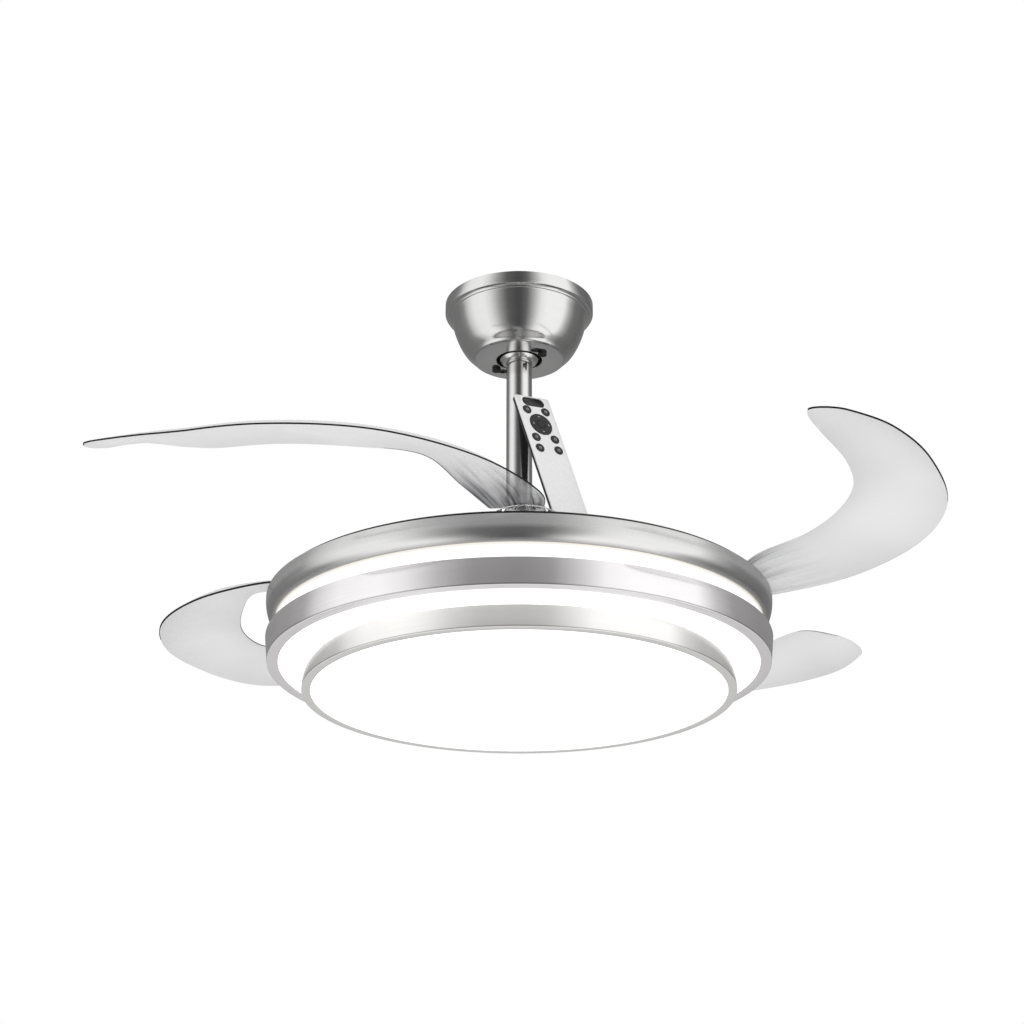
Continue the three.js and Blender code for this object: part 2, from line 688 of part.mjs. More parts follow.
const bladeGearRadius = (GEAR_MODULE * BLADE_GEAR_TEETH) / 2;
const syncRadius = PIVOT_RADIUS - bladeGearRadius;
const syncTeeth = (2 * syncRadius) / GEAR_MODULE;
const syncTravel = (OPEN_ANGLE * bladeGearRadius) / syncRadius;

function involute(angle) {
  return Math.tan(angle) - angle;
}

// One involute tooth of a gear, as points of [radius, degrees] from its rising to its falling flank.
function tooth(pitchRadius, centre) {
  const pressure = radians(PRESSURE_ANGLE);
  const baseRadius = pitchRadius * Math.cos(pressure);
  const halfThickness = (Math.PI * GEAR_MODULE) / 4 - GEAR_BACKLASH / 2;
  const root = pitchRadius - 1.2 * GEAR_MODULE;
  const tip = pitchRadius + 0.85 * GEAR_MODULE;
  const radii = [root, pitchRadius, tip];
  const flank = radii.map((radius) => {
    const slope = Math.acos(Math.min(1, baseRadius / radius));
    const half = halfThickness / pitchRadius + involute(pressure) - involute(slope);
    return [radius, THREE.MathUtils.radToDeg(half)];
  });
  const rising = flank.map(([radius, half]) => polar(radius, centre - half));
  const falling = flank.map(([radius, half]) => polar(radius, centre + half)).reverse();
  return [...rising, ...falling];
}

// The blade's gear has teeth only where it meets the synchronising gear. A tooth points at the
// fan's axis while the blade is open.
function bladeGear() {
  const pitch = 360 / BLADE_GEAR_TEETH;
  const used = Math.ceil(OPEN_ANGLE / pitch) + 1;
  const root = bladeGearRadius - 1.2 * GEAR_MODULE;
  const corners = [];
  for (let i = -1; i <= used; i += 1) {
    corners.push(...tooth(bladeGearRadius, 90 + i * pitch));
  }
  for (let i = used + 1; i < BLADE_GEAR_TEETH - 1; i += 1) {
    corners.push(polar(root, 90 + i * pitch));
  }
  const shape = new THREE.Shape(corners);
  const bore = new THREE.Path();
  bore.absarc(0, 0, PIVOT_SHANK_RADIUS + CLEARANCE, 0, 2 * Math.PI, true);
  shape.holes.push(bore);
  return slab(shape, gearBottom, gearTop, 6);
}

// A ring on the rotor's neck with an arm to a toothed sector at each blade.
function syncGear() {
  const pitch = 360 / syncTeeth;
  const root = syncRadius - 1.2 * GEAR_MODULE;
  const bore = NECK_RADIUS + CLEARANCE;
  const used = Math.ceil(syncTravel / pitch);
  const parts = [ring(bore, bore + SYNC_RING_WIDTH, gearBottom, syncTop)];
  for (let i = 0; i < BLADE_COUNT; i += 1) {
    const centre = pivotAngle(i);
    const corners = [];
    for (let k = -used - 1; k < 2; k += 1) {
      corners.push(...tooth(syncRadius, centre + (k + 0.5) * pitch));
    }
    const start = centre - (used + 1) * pitch;
    const sweep = (used + 3) * pitch;
    for (let k = 4; k >= 0; k -= 1) {
      corners.push(polar(root - SYNC_RIM_WIDTH, start + (sweep * k) / 4));
    }
    parts.push(slab(new THREE.Shape(corners), gearBottom, syncTop));
    const arm = new THREE.Shape([
      new THREE.Vector2(bore + 4, -SYNC_ARM_WIDTH / 2),
      new THREE.Vector2(root - 4, -SYNC_ARM_WIDTH / 4),
      new THREE.Vector2(root - 4, SYNC_ARM_WIDTH / 4),
      new THREE.Vector2(bore + 4, SYNC_ARM_WIDTH / 2),
    ]);
    parts.push(slab(arm, gearBottom, syncTop).rotateZ(radians(centre - syncTravel / 4)));
  }
  return join(...parts);
}

piece("rotor_disc", rotorDisc(), blackSteel, rotor);
piece("hub_cover", hubCover(), nickel, rotor);
piece("return_spring", returnSpring(), steel, rotor);
piece("sync_gear", syncGear(), nylon, rotor);

// ---- blades ----------------------------------------------------------------------------------

// A point of the folded blade, in a frame at its pivot with the fan's axis on +Y.
function foldedPoint([angle, radius, height]) {
  const at = polar(radius, -90 - angle);
  return new THREE.Vector3(at.x, at.y + PIVOT_RADIUS, discTop + height);
}

// Closed sheet between the two edge curves, cambered across and thinner at its edges.
function bladeSheet() {
  const outerEdge = new THREE.CatmullRomCurve3(BLADE_OUTER_EDGE.map(foldedPoint));
  const innerEdge = new THREE.CatmullRomCurve3(BLADE_INNER_EDGE.map(foldedPoint));
  const camber = new THREE.SplineCurve(BLADE_CAMBER.map((rise, i) => new THREE.Vector2(i, rise)));
  const columns = BLADE_STRIPS + 1;
  const upper = [];
  const lower = [];
  for (let i = 0; i <= BLADE_STATIONS; i += 1) {
    const t = i / BLADE_STATIONS;
    const outer = outerEdge.getPoint(t);
    const inner = innerEdge.getPoint(t);
    const rise = camber.getPoint(t).y;
    for (let j = 0; j < columns; j += 1) {
      const s = j / BLADE_STRIPS;
      const bow = 4 * s * (1 - s);
      const half = (BLADE_THICKNESS / 2) * (0.6 + 0.4 * bow);
      const point = outer.clone().lerp(inner, s);
      point.z += rise * bow;
      upper.push(point.x, point.y, point.z + half);
      lower.push(point.x, point.y, point.z - half);
    }
  }
  const offset = upper.length / 3;
  const faces = [];
  const quad = (a, b, c, d) => faces.push(a, b, c, a, c, d);
  for (let i = 0; i < BLADE_STATIONS; i += 1) {
    for (let j = 0; j < BLADE_STRIPS; j += 1) {
      const a = i * columns + j;
      const b = a + columns;
      quad(a, a + 1, b + 1, b);
      quad(a + offset, b + offset, b + 1 + offset, a + 1 + offset);
    }
    const outerA = i * columns;
    const outerB = outerA + columns;
    quad(outerA, outerB, outerB + offset, outerA + offset);
    const innerA = outerA + BLADE_STRIPS;
    const innerB = outerB + BLADE_STRIPS;
    quad(innerA, innerA + offset, innerB + offset, innerB);
  }
  for (let j = 0; j < BLADE_STRIPS; j += 1) {
    quad(j, j + offset, j + 1 + offset, j + 1);
    const tip = BLADE_STATIONS * columns + j;
    quad(tip, tip + 1, tip + 1 + offset, tip + offset);
  }
  return new THREE.BufferGeometry()
    .setAttribute("position", new THREE.Float32BufferAttribute([...upper, ...lower], 3))
    .setIndex(faces);
}

function blade() {
  const boss = turned(
    [
      [0, bossBottom],
      [BOSS_RADIUS, bossBottom],
      [BOSS_RADIUS, bossBottom + BOSS_STEP - 1.5],
      [BOSS_RADIUS - 1.5, bossBottom + BOSS_STEP],
      [CROWN_RADIUS + 1.5, bossBottom + BOSS_STEP],
      [CROWN_RADIUS, bossTop - 1.5],
      [CROWN_RADIUS - 1.5, bossTop],
      [0, bossTop],
    ],
    16,
  );
  const bore = disc(PIVOT_SHANK_RADIUS + CLEARANCE, bossBottom - 1, bossTop + 1, 12);
  const counterbore = disc(PIVOT_HEAD_RADIUS + 1, bossTop - 1.5, bossTop + 20, 12);
  return cut(join(boss, bladeSheet()), bore, counterbore);
}

// Shoulder screw that a blade turns on, with its nut under the disc.
function pivotScrew() {
  const headBottom = bossTop - 1.5 + CLEARANCE;
  const nutTop = discBottom - CLEARANCE;
  const head = disc(PIVOT_HEAD_RADIUS, headBottom, headBottom + PIVOT_HEAD_HEIGHT, 12);
  const shank = disc(PIVOT_SHANK_RADIUS, nutTop - 1, headBottom + 1, 10);
  const nut = disc(PIVOT_SHANK_RADIUS + 3.5, nutTop - 5, nutTop, 6);
  return join(head, shank, nut);
}

for (let i = 0; i < BLADE_COUNT; i += 1) {
  const arm = new THREE.Group();
  arm.rotation.z = radians(pivotAngle(i) + 90);
  const pivot = new THREE.Group();
  pivot.position.y = -PIVOT_RADIUS;
  arm.add(pivot);
  rotor.add(arm);
  piece(`blade_${i + 1}`, blade(), clearPlastic, pivot).rotation.z = radians(OPEN_ANGLE);
  piece(`blade_gear_${i + 1}`, bladeGear(), nylon, pivot);
  piece(`pivot_screw_${i + 1}`, pivotScrew(), steel, pivot);
}

// ---- drum ------------------------------------------------------------------------------------

function topPan() {
  const wellRadius = MOTOR_RADIUS + PAN_WELL_GAP;
  const wall = (share, z, inset) => [PAN_RADIUS - PAN_FLARE * share - inset, z];
  const outer = [
    wall(0, panTop, 0),
    wall(0.04, panTop - 0.35 * PAN_HEIGHT, 0),
    wall(0.32, panTop - 0.72 * PAN_HEIGHT, 0),
    wall(1, panBottom, 0),
  ];
  const inner = [wall(0.04, panTop - 0.35 * PAN_HEIGHT, SHEET), wall(0, panTop, SHEET)];
  const corners = [
    ...outer,
    [wellRadius + SHEET, panBottom],
    [wellRadius + SHEET, wellFloor - SHEET],
    [SHAFT_RADIUS + CLEARANCE, wellFloor - SHEET],
    [SHAFT_RADIUS + CLEARANCE, wellFloor],
    [wellRadius, wellFloor],
    [wellRadius, panBottom + SHEET],
    [panFootRadius - SHEET, panBottom + SHEET],
    ...inner,
  ];
  return turned(corners, ROUND_LARGE);
}

function sideDiffuser() {
  const outer = sideDiffuserRadius;
  const inner = outer - DIFFUSER_WALL;
  const bottom = middleBottom + SHEET + DIFFUSER_WALL + 2 * CLEARANCE;
  return ring(inner, outer, bottom, panBottom - CLEARANCE, ROUND_LARGE);
}

function middleRing() {
  const corners = [
    [sideDiffuserRadius + CLEARANCE, middleTop],
    [middleTopRadius, middleTop],
    [middleBaseRadius, middleBottom],
    [middleLipRadius, middleBottom],
    [middleLipRadius, middleBottom + SHEET],
    [middleBaseRadius - SHEET, middleBottom + SHEET],
    [middleTopRadius - SHEET, middleTop - SHEET],
    [sideDiffuserRadius + CLEARANCE, middleTop - SHEET],
  ];
  return turned(corners, ROUND_LARGE);
}

function annularDiffuser() {
  const seat = middleBottom + SHEET + CLEARANCE;
  const outer = middleBaseRadius - SHEET - 2 * CLEARANCE;
  const inner = lowerRingRadius + CLEARANCE;
  const lip = middleLipRadius - CLEARANCE;
  const corners = [
    [outer, seat],
    [lip, seat],
    [lip, middleBottom + 0.4],
    [inner, lowerTop],
    [inner, lowerTop + DIFFUSER_WALL],
    [lip - 1, seat + DIFFUSER_WALL],
    [outer, seat + DIFFUSER_WALL],
  ];
  return turned(corners, ROUND_LARGE);
}

function lowerRing() {
  const flangeBottom = lowerTop + DIFFUSER_WALL + 1.5;
  const corners = [
    [lowerLipRadius, drumBottom],
    [lowerRingRadius, drumBottom],
    [lowerRingRadius, flangeBottom],
    [lowerRingRadius + 3, flangeBottom],
    [lowerRingRadius + 3, flangeBottom + SHEET],
    [lowerRingRadius - SHEET, flangeBottom + SHEET],
    [lowerRingRadius - SHEET, drumBottom + SHEET],
    [lowerLipRadius, drumBottom + SHEET],
  ];
  return turned(corners, ROUND_LARGE);
}

function bottomDiffuser() {
  const seat = drumBottom + SHEET + CLEARANCE;
  const rim = lowerRingRadius - SHEET - CLEARANCE;
  const corners = [
    [0, drumBottom + 0.2],
    [lowerLipRadius - CLEARANCE, drumBottom + 0.2],
    [lowerLipRadius - CLEARANCE, seat],
    [rim, seat],
    [rim, seat + DIFFUSER_WALL],
    [0, seat + DIFFUSER_WALL],
  ];
  return turned(corners, ROUND_LARGE);
}

// Pressed plate that carries the lamp's electrics. Its three arms reach the side diffuser's wall.
function lampChassis() {
  const reach = sideDiffuserRadius - DIFFUSER_WALL - CLEARANCE;
  const plate = ring(SHAFT_RADIUS + CLEARANCE, chassisRadius, chassisBottom, chassisTop, 30);
  const arms = [30, 150, 270].map((angle) => {
    const arm = block(reach - chassisRadius + 12, 26, chassisBottom, chassisTop);
    arm.translate((reach + chassisRadius - 12) / 2 - 1, 0, 0);
    const hook = block(SHEET, 26, chassisBottom, chassisTop + 10).translate(reach - 1.6, 0, 0);
    return join(arm, hook).rotateZ(radians(angle));
  });
  return join(plate, ...arms);
}

function lampNut() {
  const nut = disc(NUT_RADIUS, nutBottom, nutBottom + NUT_HEIGHT, 6);
  return cut(nut, disc(SHAFT_RADIUS + CLEARANCE, nutBottom - 1, nutBottom + NUT_HEIGHT + 1, 16));
}

// Ring board with rows of raised light-emitting chips on its lower face.
function ledBoard() {
  const top = chassisBottom - CLEARANCE;
  const bottom = top - LED_BOARD_THICKNESS;
  const board = ring(LED_BOARD_INNER_RADIUS, ledBoardRadius, bottom, top, 30);
  const chips = [];
  [90, 160].forEach((radius, row) => {
    const count = 6 + 4 * row;
    for (let i = 0; i < count; i += 1) {
      const at = polar(radius, (360 * i) / count);
      chips.push(block(5, 5, bottom - 1, bottom + 0.5).translate(at.x, at.y, 0));
    }
  });
  return join(board, ...chips);
}

piece("top_pan", topPan(), nickel);
piece("side_diffuser", sideDiffuser(), opalPlastic);
piece("middle_ring", middleRing(), nickel);
piece("annular_diffuser", annularDiffuser(), opalPlastic);
piece("lower_ring", lowerRing(), nickel);
piece("bottom_diffuser", bottomDiffuser(), opalPlastic);
piece("lamp_chassis", lampChassis(), whitePaint);
piece("lamp_nut", lampNut(), steel);
piece("led_board", ledBoard(), whitePaint);
const [driverX, driverY, driverZ] = DRIVER_SIZE;
const driverBottom = chassisTop + CLEARANCE;
const driverBox = slab(roundedRectangle(driverX, driverY, 4), driverBottom, driverBottom + driverZ, 3);
piece("led_driver", driverBox, whitePaint).position.y = DRIVER_RADIUS;

// ---- remote control --------------------------------------------------------------------------
// Its own frame has +X across, +Y up its length and +Z out of its face. The frame's origin is the
// middle of its upper edge, at the back. The magnet in its back holds it to the steel rod.

const across = new THREE.Vector3(...REMOTE_ACROSS).normalize();
const along = new THREE.Vector3(...REMOTE_DOWN).negate();
along.addScaledVector(across, -along.dot(across)).normalize();
const outward = new THREE.Vector3().crossVectors(across, along);
const facing = outward.clone().setZ(0).normalize();
const faceBottom = REMOTE_THICKNESS - REMOTE_FACE;
const shellTop = faceBottom - CLEARANCE;
const keyTop = REMOTE_THICKNESS + 1;
const keyFlangeBottom = shellTop - KEY_FLANGE;
const boardTop = keyFlangeBottom - BUTTON_TRAVEL - CLEARANCE;
const boardBottom = boardTop - 1;
const trayTop = shellTop - 2 * CLEARANCE;
const trayMiddle = -REMOTE_LENGTH + TRAY_SIZE[1] / 2;
const rodContact = facing.clone().multiplyScalar(ROD_RADIUS + CLEARANCE);
const magnetUpper = MAGNET_ROW - MAGNET_RADIUS;
const contactToEdge = new THREE.Vector3()
  .addScaledVector(along, magnetUpper)
  .addScaledVector(outward, MAGNET_REACH);
const magnetX = (rodContact.x + contactToEdge.x - REMOTE_TOP_SHIFT) / across.x;
const remoteOrigin = rodContact.clone().add(contactToEdge).addScaledVector(across, -magnetX);
remoteOrigin.z = -REMOTE_TOP_DROP;
remote.matrixAutoUpdate = false;
remote.matrix.makeBasis(across, along, outward).setPosition(remoteOrigin);

function remoteOutline(inset) {
  const width = REMOTE_WIDTH - 2 * inset;
  const length = REMOTE_LENGTH - 2 * inset;
  return roundedRectangle(width, length, REMOTE_CORNER - inset / 2);
}

function remoteBack() {
  const middle = -REMOTE_LENGTH / 2;
  const body = slab(remoteOutline(0), 0, shellTop, 3).translate(0, middle, 0);
  const hollow = slab(remoteOutline(REMOTE_WALL), REMOTE_WALL, REMOTE_THICKNESS, 3);
  hollow.translate(0, middle, 0);
  const [trayWidth, trayLength] = TRAY_SIZE;
  const mouth = block(trayWidth + 2 * CLEARANCE, trayLength, REMOTE_WALL, trayTop + CLEARANCE);
  mouth.translate(0, -REMOTE_LENGTH, 0);
  const pocket = disc(MAGNET_RADIUS + CLEARANCE, -1, REMOTE_WALL + 1, 16);
  pocket.translate(magnetX, -MAGNET_ROW, 0);
  const posts = [-1, 1].flatMap((side) =>
    [BOARD_LENGTH - 4, 28].map((row) =>
      disc(1.6, REMOTE_WALL - 0.5, boardBottom - CLEARANCE, 8).translate(side * 15, -row, 0),
    ),
  );
  return join(cut(body, hollow, mouth, pocket), ...posts);
}

// Keys as [x, y, radius] on the face.
const roundKeys = BUTTON_ROWS.flatMap((row) => [
  [-BUTTON_COLUMN, -row, BUTTON_RADIUS],
  [BUTTON_COLUMN, -row, BUTTON_RADIUS],
]);

function remoteFront() {
  const middle = -REMOTE_LENGTH / 2;
  const plate = slab(remoteOutline(0), faceBottom, REMOTE_THICKNESS, 3).translate(0, middle, 0);
  const openings = [...roundKeys, [0, -PAD_ROW, PAD_RADIUS]].map(([x, y, radius]) => {
    const faces = radius === PAD_RADIUS ? PAD_FACES : KEY_FACES;
    const hole = disc(radius + CLEARANCE, faceBottom - 1, REMOTE_THICKNESS + 1, faces);
    return hole.translate(x, y, 0);
  });
  const [width, height] = WINDOW_SIZE;
  const gap = 2 * CLEARANCE;
  const windowHole = roundedRectangle(width + gap, height + gap, height / 2);
  const pane = slab(windowHole, faceBottom - 1, REMOTE_THICKNESS + 1, 4);
  openings.push(pane.translate(0, -WINDOW_ROW, 0));
  return cut(plate, ...openings);
}

function remoteWindow() {
  const [width, height] = WINDOW_SIZE;
  const pane = roundedRectangle(width, height, height / 2 - 0.1);
  return slab(pane, boardTop + CLEARANCE, REMOTE_THICKNESS - 0.2, 4);
}

// A round key stands through its opening, held in by a flange under the face plate.
function key(radius) {
  const corners = [
    [0, keyFlangeBottom],
    [radius + 0.9, keyFlangeBottom],
    [radius + 0.9, shellTop],
    [radius, shellTop],
    [radius, keyTop - 0.4],
    [radius - 0.6, keyTop],
    [0, keyTop],
  ];
  return turned(corners, KEY_FACES);
}

// The direction pad is a ring round the centre button, with a shallow dish.
function directionPad() {
  const bore = CENTER_BUTTON_RADIUS + CLEARANCE;
  const corners = [
    [bore, keyFlangeBottom],
    [PAD_RADIUS + 0.9, keyFlangeBottom],
    [PAD_RADIUS + 0.9, shellTop],
    [PAD_RADIUS, shellTop],
    [PAD_RADIUS, keyTop - 0.4],
    [PAD_RADIUS - 0.8, keyTop],
    [bore + 1, keyTop - 0.5],
    [bore, keyTop - 0.7],
  ];
  return turned(corners, PAD_FACES);
}

function centerButton() {
  return disc(CENTER_BUTTON_RADIUS, keyFlangeBottom, keyTop, PAD_FACES);
}

function remoteBoard() {
  const width = REMOTE_WIDTH - 4 * REMOTE_WALL;
  const board = slab(roundedRectangle(width, BOARD_LENGTH, 1.5), boardBottom, boardTop, 2);
  return board.translate(0, -BOARD_LENGTH / 2 - 2 * REMOTE_WALL, 0);
}

// Drawer for the coin cell, which slides out of the remote's lower end.
function cellTray() {
  const [width, length] = TRAY_SIZE;
  const bottom = REMOTE_WALL + CLEARANCE;
  const tray = block(width, length, bottom, trayTop);
  const pocket = disc(CELL_RADIUS + CLEARANCE, bottom + 0.6, trayTop + 1, 18);
  return cut(tray, pocket);
}

function remoteMagnet() {
  return disc(MAGNET_RADIUS, -MAGNET_REACH, boardBottom - CLEARANCE, 16);
}

const cellBottom = REMOTE_WALL + 2 * CLEARANCE + 0.6;
piece("remote_back", remoteBack(), blackPlastic, remote);
piece("remote_front", remoteFront(), silverPlastic, remote);
piece("remote_window", remoteWindow(), blackPlastic, remote).position.y = -WINDOW_ROW;
piece("remote_board", remoteBoard(), boardGreen, remote);
piece("remote_magnet", remoteMagnet(), steel, remote).position.set(magnetX, -MAGNET_ROW, 0);
piece("cell_tray", cellTray(), blackPlastic, remote).position.y = trayMiddle;
const cell = disc(CELL_RADIUS, cellBottom, cellBottom + CELL_THICKNESS, 18);
piece("coin_cell", cell, steel, remote).position.y = trayMiddle;
piece("direction_pad", directionPad(), blackPlastic, remote).position.y = -PAD_ROW;
piece("center_button", centerButton(), blackPlastic, remote).position.y = -PAD_ROW;
roundKeys.forEach(([x, y, radius], i) => {
  piece(`remote_button_${i + 1}`, key(radius), blackPlastic, remote).position.set(x, y, 0);
});

export default fan;
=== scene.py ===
"""Looks of the ceiling fan: retracting clear blades over a drum lamp, and its remote control."""
import json
import math

import bmesh
import bpy
from mathutils import Matrix, Vector


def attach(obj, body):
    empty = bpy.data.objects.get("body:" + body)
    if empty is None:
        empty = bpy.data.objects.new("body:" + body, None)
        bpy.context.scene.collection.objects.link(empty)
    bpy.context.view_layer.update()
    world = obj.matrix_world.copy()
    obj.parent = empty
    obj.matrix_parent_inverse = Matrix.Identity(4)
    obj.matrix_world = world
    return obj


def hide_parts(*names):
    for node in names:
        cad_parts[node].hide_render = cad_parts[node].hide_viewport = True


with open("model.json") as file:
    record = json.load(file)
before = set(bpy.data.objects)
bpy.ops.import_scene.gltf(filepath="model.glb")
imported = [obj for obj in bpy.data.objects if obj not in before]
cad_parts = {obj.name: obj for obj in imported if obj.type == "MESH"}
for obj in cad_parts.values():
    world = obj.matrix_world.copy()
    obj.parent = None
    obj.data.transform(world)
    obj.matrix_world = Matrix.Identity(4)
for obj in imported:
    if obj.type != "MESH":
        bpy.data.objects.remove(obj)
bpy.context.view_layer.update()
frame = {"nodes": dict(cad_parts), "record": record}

nodes = frame["nodes"]
scene = bpy.context.scene
MM = 0.001

# ---- sizes in millimetres, as in the solids ---------------------------------------------------

ROD_RADIUS = 13.5
ROD_BORE = 11.5
ROD_TOP = -13.0
ROD_END = -302.0
ROD_FIT = 0.3
BALL_CENTRE = -40.0
BALL_RADIUS = 27.0
BALL_CUTS = (-47.8, 36.3)  # degrees above the ball's centre where its flat ends begin
DISC_TOP = -337.0
DISC_BOTTOM = -340.0
DISC_RADIUS = 248.0
DISC_BORE = 26.3
DISC_OPENING = 24.0
SCREW_BORE = 6.3
PAN_TOP = -341.2
PAN_BOTTOM = -364.6
MIDDLE_TOP = -382.3
MIDDLE_BOTTOM = -408.0
LOWER_TOP = -414.0
DRUM_BOTTOM = -435.0
PIVOT_RADIUS = 205.0
FIRST_PIVOT_ANGLE = -88.5
OPEN_ANGLE = 78.0
GEAR_TOP = DISC_TOP + 4.5
BOSS_BOTTOM = GEAR_TOP + 0.3
BOSS_TOP = BOSS_BOTTOM + 13.0
WELL_RADIUS = 85.5
WELL_FLOOR = -384.6
WALL = 1.5


# ---- mesh helpers -----------------------------------------------------------------------------

def add_object(name, mesh, body, material, node_names):
    """Links a piece, lets it ride on its body, and hides the CAD parts that it stands for."""
    piece = bpy.data.objects.new(name, mesh)
    scene.collection.objects.link(piece)
    mesh.materials.clear()
    mesh.materials.append(material)
    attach(piece, body)
    if node_names:
        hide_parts(*node_names)
    return piece


def shade(mesh, angle=35):
    mesh.shade_smooth()
    mesh.set_sharp_from_angle(angle=math.radians(angle))


NEARLY_STRAIGHT = 12  # degrees
LONGEST_REACH = 0.45  # share of a side that one rounding may take


def fillet(corners, radius, closed, steps=3):
    """Rounds each corner of a profile that isn't nearly straight."""
    points = [Vector(c) for c in corners]
    out = []
    for i, here in enumerate(points):
        if not closed and i in (0, len(points) - 1):
            out.append(here)
            continue
        back = points[i - 1] - here
        ahead = points[(i + 1) % len(points)] - here
        if back.length < 1e-6 or ahead.length < 1e-6:
            continue
        turn = math.pi - back.angle(ahead)
        if turn < math.radians(NEARLY_STRAIGHT):
            out.append(here)
            continue
        shorter = min(back.length, ahead.length)
        reach = min(radius * math.tan(turn / 2), LONGEST_REACH * shorter)
        start = here + back.normalized() * reach
        end = here + ahead.normalized() * reach
        for k in range(steps + 1):
            t = k / steps
            out.append(start * (1 - t) ** 2 + here * 2 * t * (1 - t) + end * t**2)
    return out


def lathe_mesh(name, corners, faces=192, closed=True, round_by=0.4):
    """Turns a profile of [radius, height] corners, in mm, round the Z axis."""
    profile = fillet(corners, round_by, closed) if round_by else [Vector(c) for c in corners]
    made = bmesh.new()
    columns = []
    for i in range(faces):
        angle = 2 * math.pi * i / faces
        column = []
        for r, z in profile:
            spot = (r * math.cos(angle) * MM, r * math.sin(angle) * MM, z * MM)
            column.append(made.verts.new(spot))
        columns.append(column)
    count = len(profile)
    for i in range(faces):
        a, b = columns[i], columns[(i + 1) % faces]
        for k in range(count if closed else count - 1):
            n = (k + 1) % count
            if max(profile[k][0], profile[n][0]) > 1e-6:
                made.faces.new([a[k], b[k], b[n], a[n]])
    bmesh.ops.remove_doubles(made, verts=made.verts, dist=1e-7)
    bmesh.ops.dissolve_degenerate(made, edges=made.edges, dist=1e-8)
    bmesh.ops.recalc_face_normals(made, faces=made.faces)
    mesh = bpy.data.meshes.new(name)
    made.to_mesh(mesh)
    made.free()
    shade(mesh)
    return mesh


def polar(radius, degrees):
    angle = math.radians(degrees)
    return Vector((radius * math.cos(angle), radius * math.sin(angle), 0))


def carve(mesh, cutters):
    """Cuts the cutter meshes out of a mesh and returns the new mesh."""
    holder = bpy.data.objects.new("carve", mesh)
    scene.collection.objects.link(holder)
    tools = []
    for cutter in cutters:
        tool = bpy.data.objects.new("tool", cutter)
        scene.collection.objects.link(tool)
        tools.append(tool)
        cut = holder.modifiers.new("cut", "BOOLEAN")
        cut.object = tool
        cut.operation = "DIFFERENCE"
        cut.solver = "EXACT"
    depsgraph = bpy.context.evaluated_depsgraph_get()
    result = bpy.data.meshes.new_from_object(holder.evaluated_get(depsgraph))
    result.name = mesh.name + "_cut"
    for thing in [holder, *tools]:
        bpy.data.objects.remove(thing)
    shade(result)
    return result


def moved(mesh, matrix):
    mesh.transform(matrix)
    return mesh


def rod_mesh(radius, bottom, top, faces, x, y):
    """A plain cylinder in mm, for cutting."""
    mesh = lathe_mesh("cutter", [(0, bottom), (radius, bottom), (radius, top), (0, top)],
                      faces=faces, closed=False, round_by=0)
    return moved(mesh, Matrix.Translation((x * MM, y * MM, 0)))


def box_mesh(low, high):
    """A box given by two opposite corners in mm, for cutting."""
    made = bmesh.new()
    bmesh.ops.create_cube(made, size=1)
    low, high = Vector(low) * MM, Vector(high) * MM
    bmesh.ops.scale(made, vec=high - low, verts=made.verts)
    bmesh.ops.translate(made, vec=(low + high) / 2, verts=made.verts)
    mesh = bpy.data.meshes.new("box")
    made.to_mesh(mesh)
    made.free()
    return mesh


# ---- materials --------------------------------------------------------------------------------

class Nodes:
    """A material with its Principled shader and short calls for adding nodes."""

    def __init__(self, name, color, roughness, metallic=0.0):
        self.material = bpy.data.materials.new(name)
        self.material.use_nodes = True
        self.tree = self.material.node_tree
        self.shader = self.tree.nodes["Principled BSDF"]
        self.set("Base Color", (*color, 1))
        self.set("Roughness", roughness)
        self.set("Metallic", metallic)

    def set(self, socket, value):
        self.shader.inputs[socket].default_value = value

    def add(self, kind, **values):
        node = self.tree.nodes.new(kind)
        for key, value in values.items():
            if hasattr(node, key):
                setattr(node, key, value)
            else:
                node.inputs[key].default_value = value
        return node

    def link(self, source, target):
        self.tree.links.new(source, target)

    def math(self, operation, a, b=None):
        node = self.add("ShaderNodeMath", operation=operation)
        for i, value in enumerate((a, b)):
            if value is None:
                continue
            if isinstance(value, (int, float)):
                node.inputs[i].default_value = value
            else:
                self.link(value, node.inputs[i])
        return node.outputs[0]

    def ramp(self, source, stops):
        node = self.add("ShaderNodeValToRGB")
        self.link(source, node.inputs[0])
        elements = node.color_ramp.elements
        while len(elements) < len(stops):
            elements.new(0.5)
        for element, (place, color) in zip(elements, stops):
            element.position = place
            element.color = (*color, 1)
        return node.outputs[0]

    def span(self, source, low, high, start=0.0, end=1.0):
        node = self.add("ShaderNodeMapRange")
        self.link(source, node.inputs["Value"])
        node.inputs["From Min"].default_value = start
        node.inputs["From Max"].default_value = end
        node.inputs["To Min"].default_value = low
        node.inputs["To Max"].default_value = high
        return node.outputs[0]

    def bump(self, height, strength, distance):
        node = self.add("ShaderNodeBump")
        node.inputs["Strength"].default_value = strength
        node.inputs["Distance"].default_value = distance
        self.link(height, node.inputs["Height"])
        self.link(node.outputs[0], self.shader.inputs["Normal"])

    def noise(self, scale, detail=4, vector=None, roughness=0.5):
        node = self.add("ShaderNodeTexNoise")
        node.inputs["Scale"].default_value = scale
        node.inputs["Detail"].default_value = detail
        node.inputs["Roughness"].default_value = roughness
        if vector is None:
            vector = self.add("ShaderNodeTexCoord").outputs["Object"]
        self.link(vector, node.inputs["Vector"])
        return node.outputs["Fac"]


def shades(color, low, high):
    return [tuple(min(1.0, c * k) for c in color) for k in (low, high)]


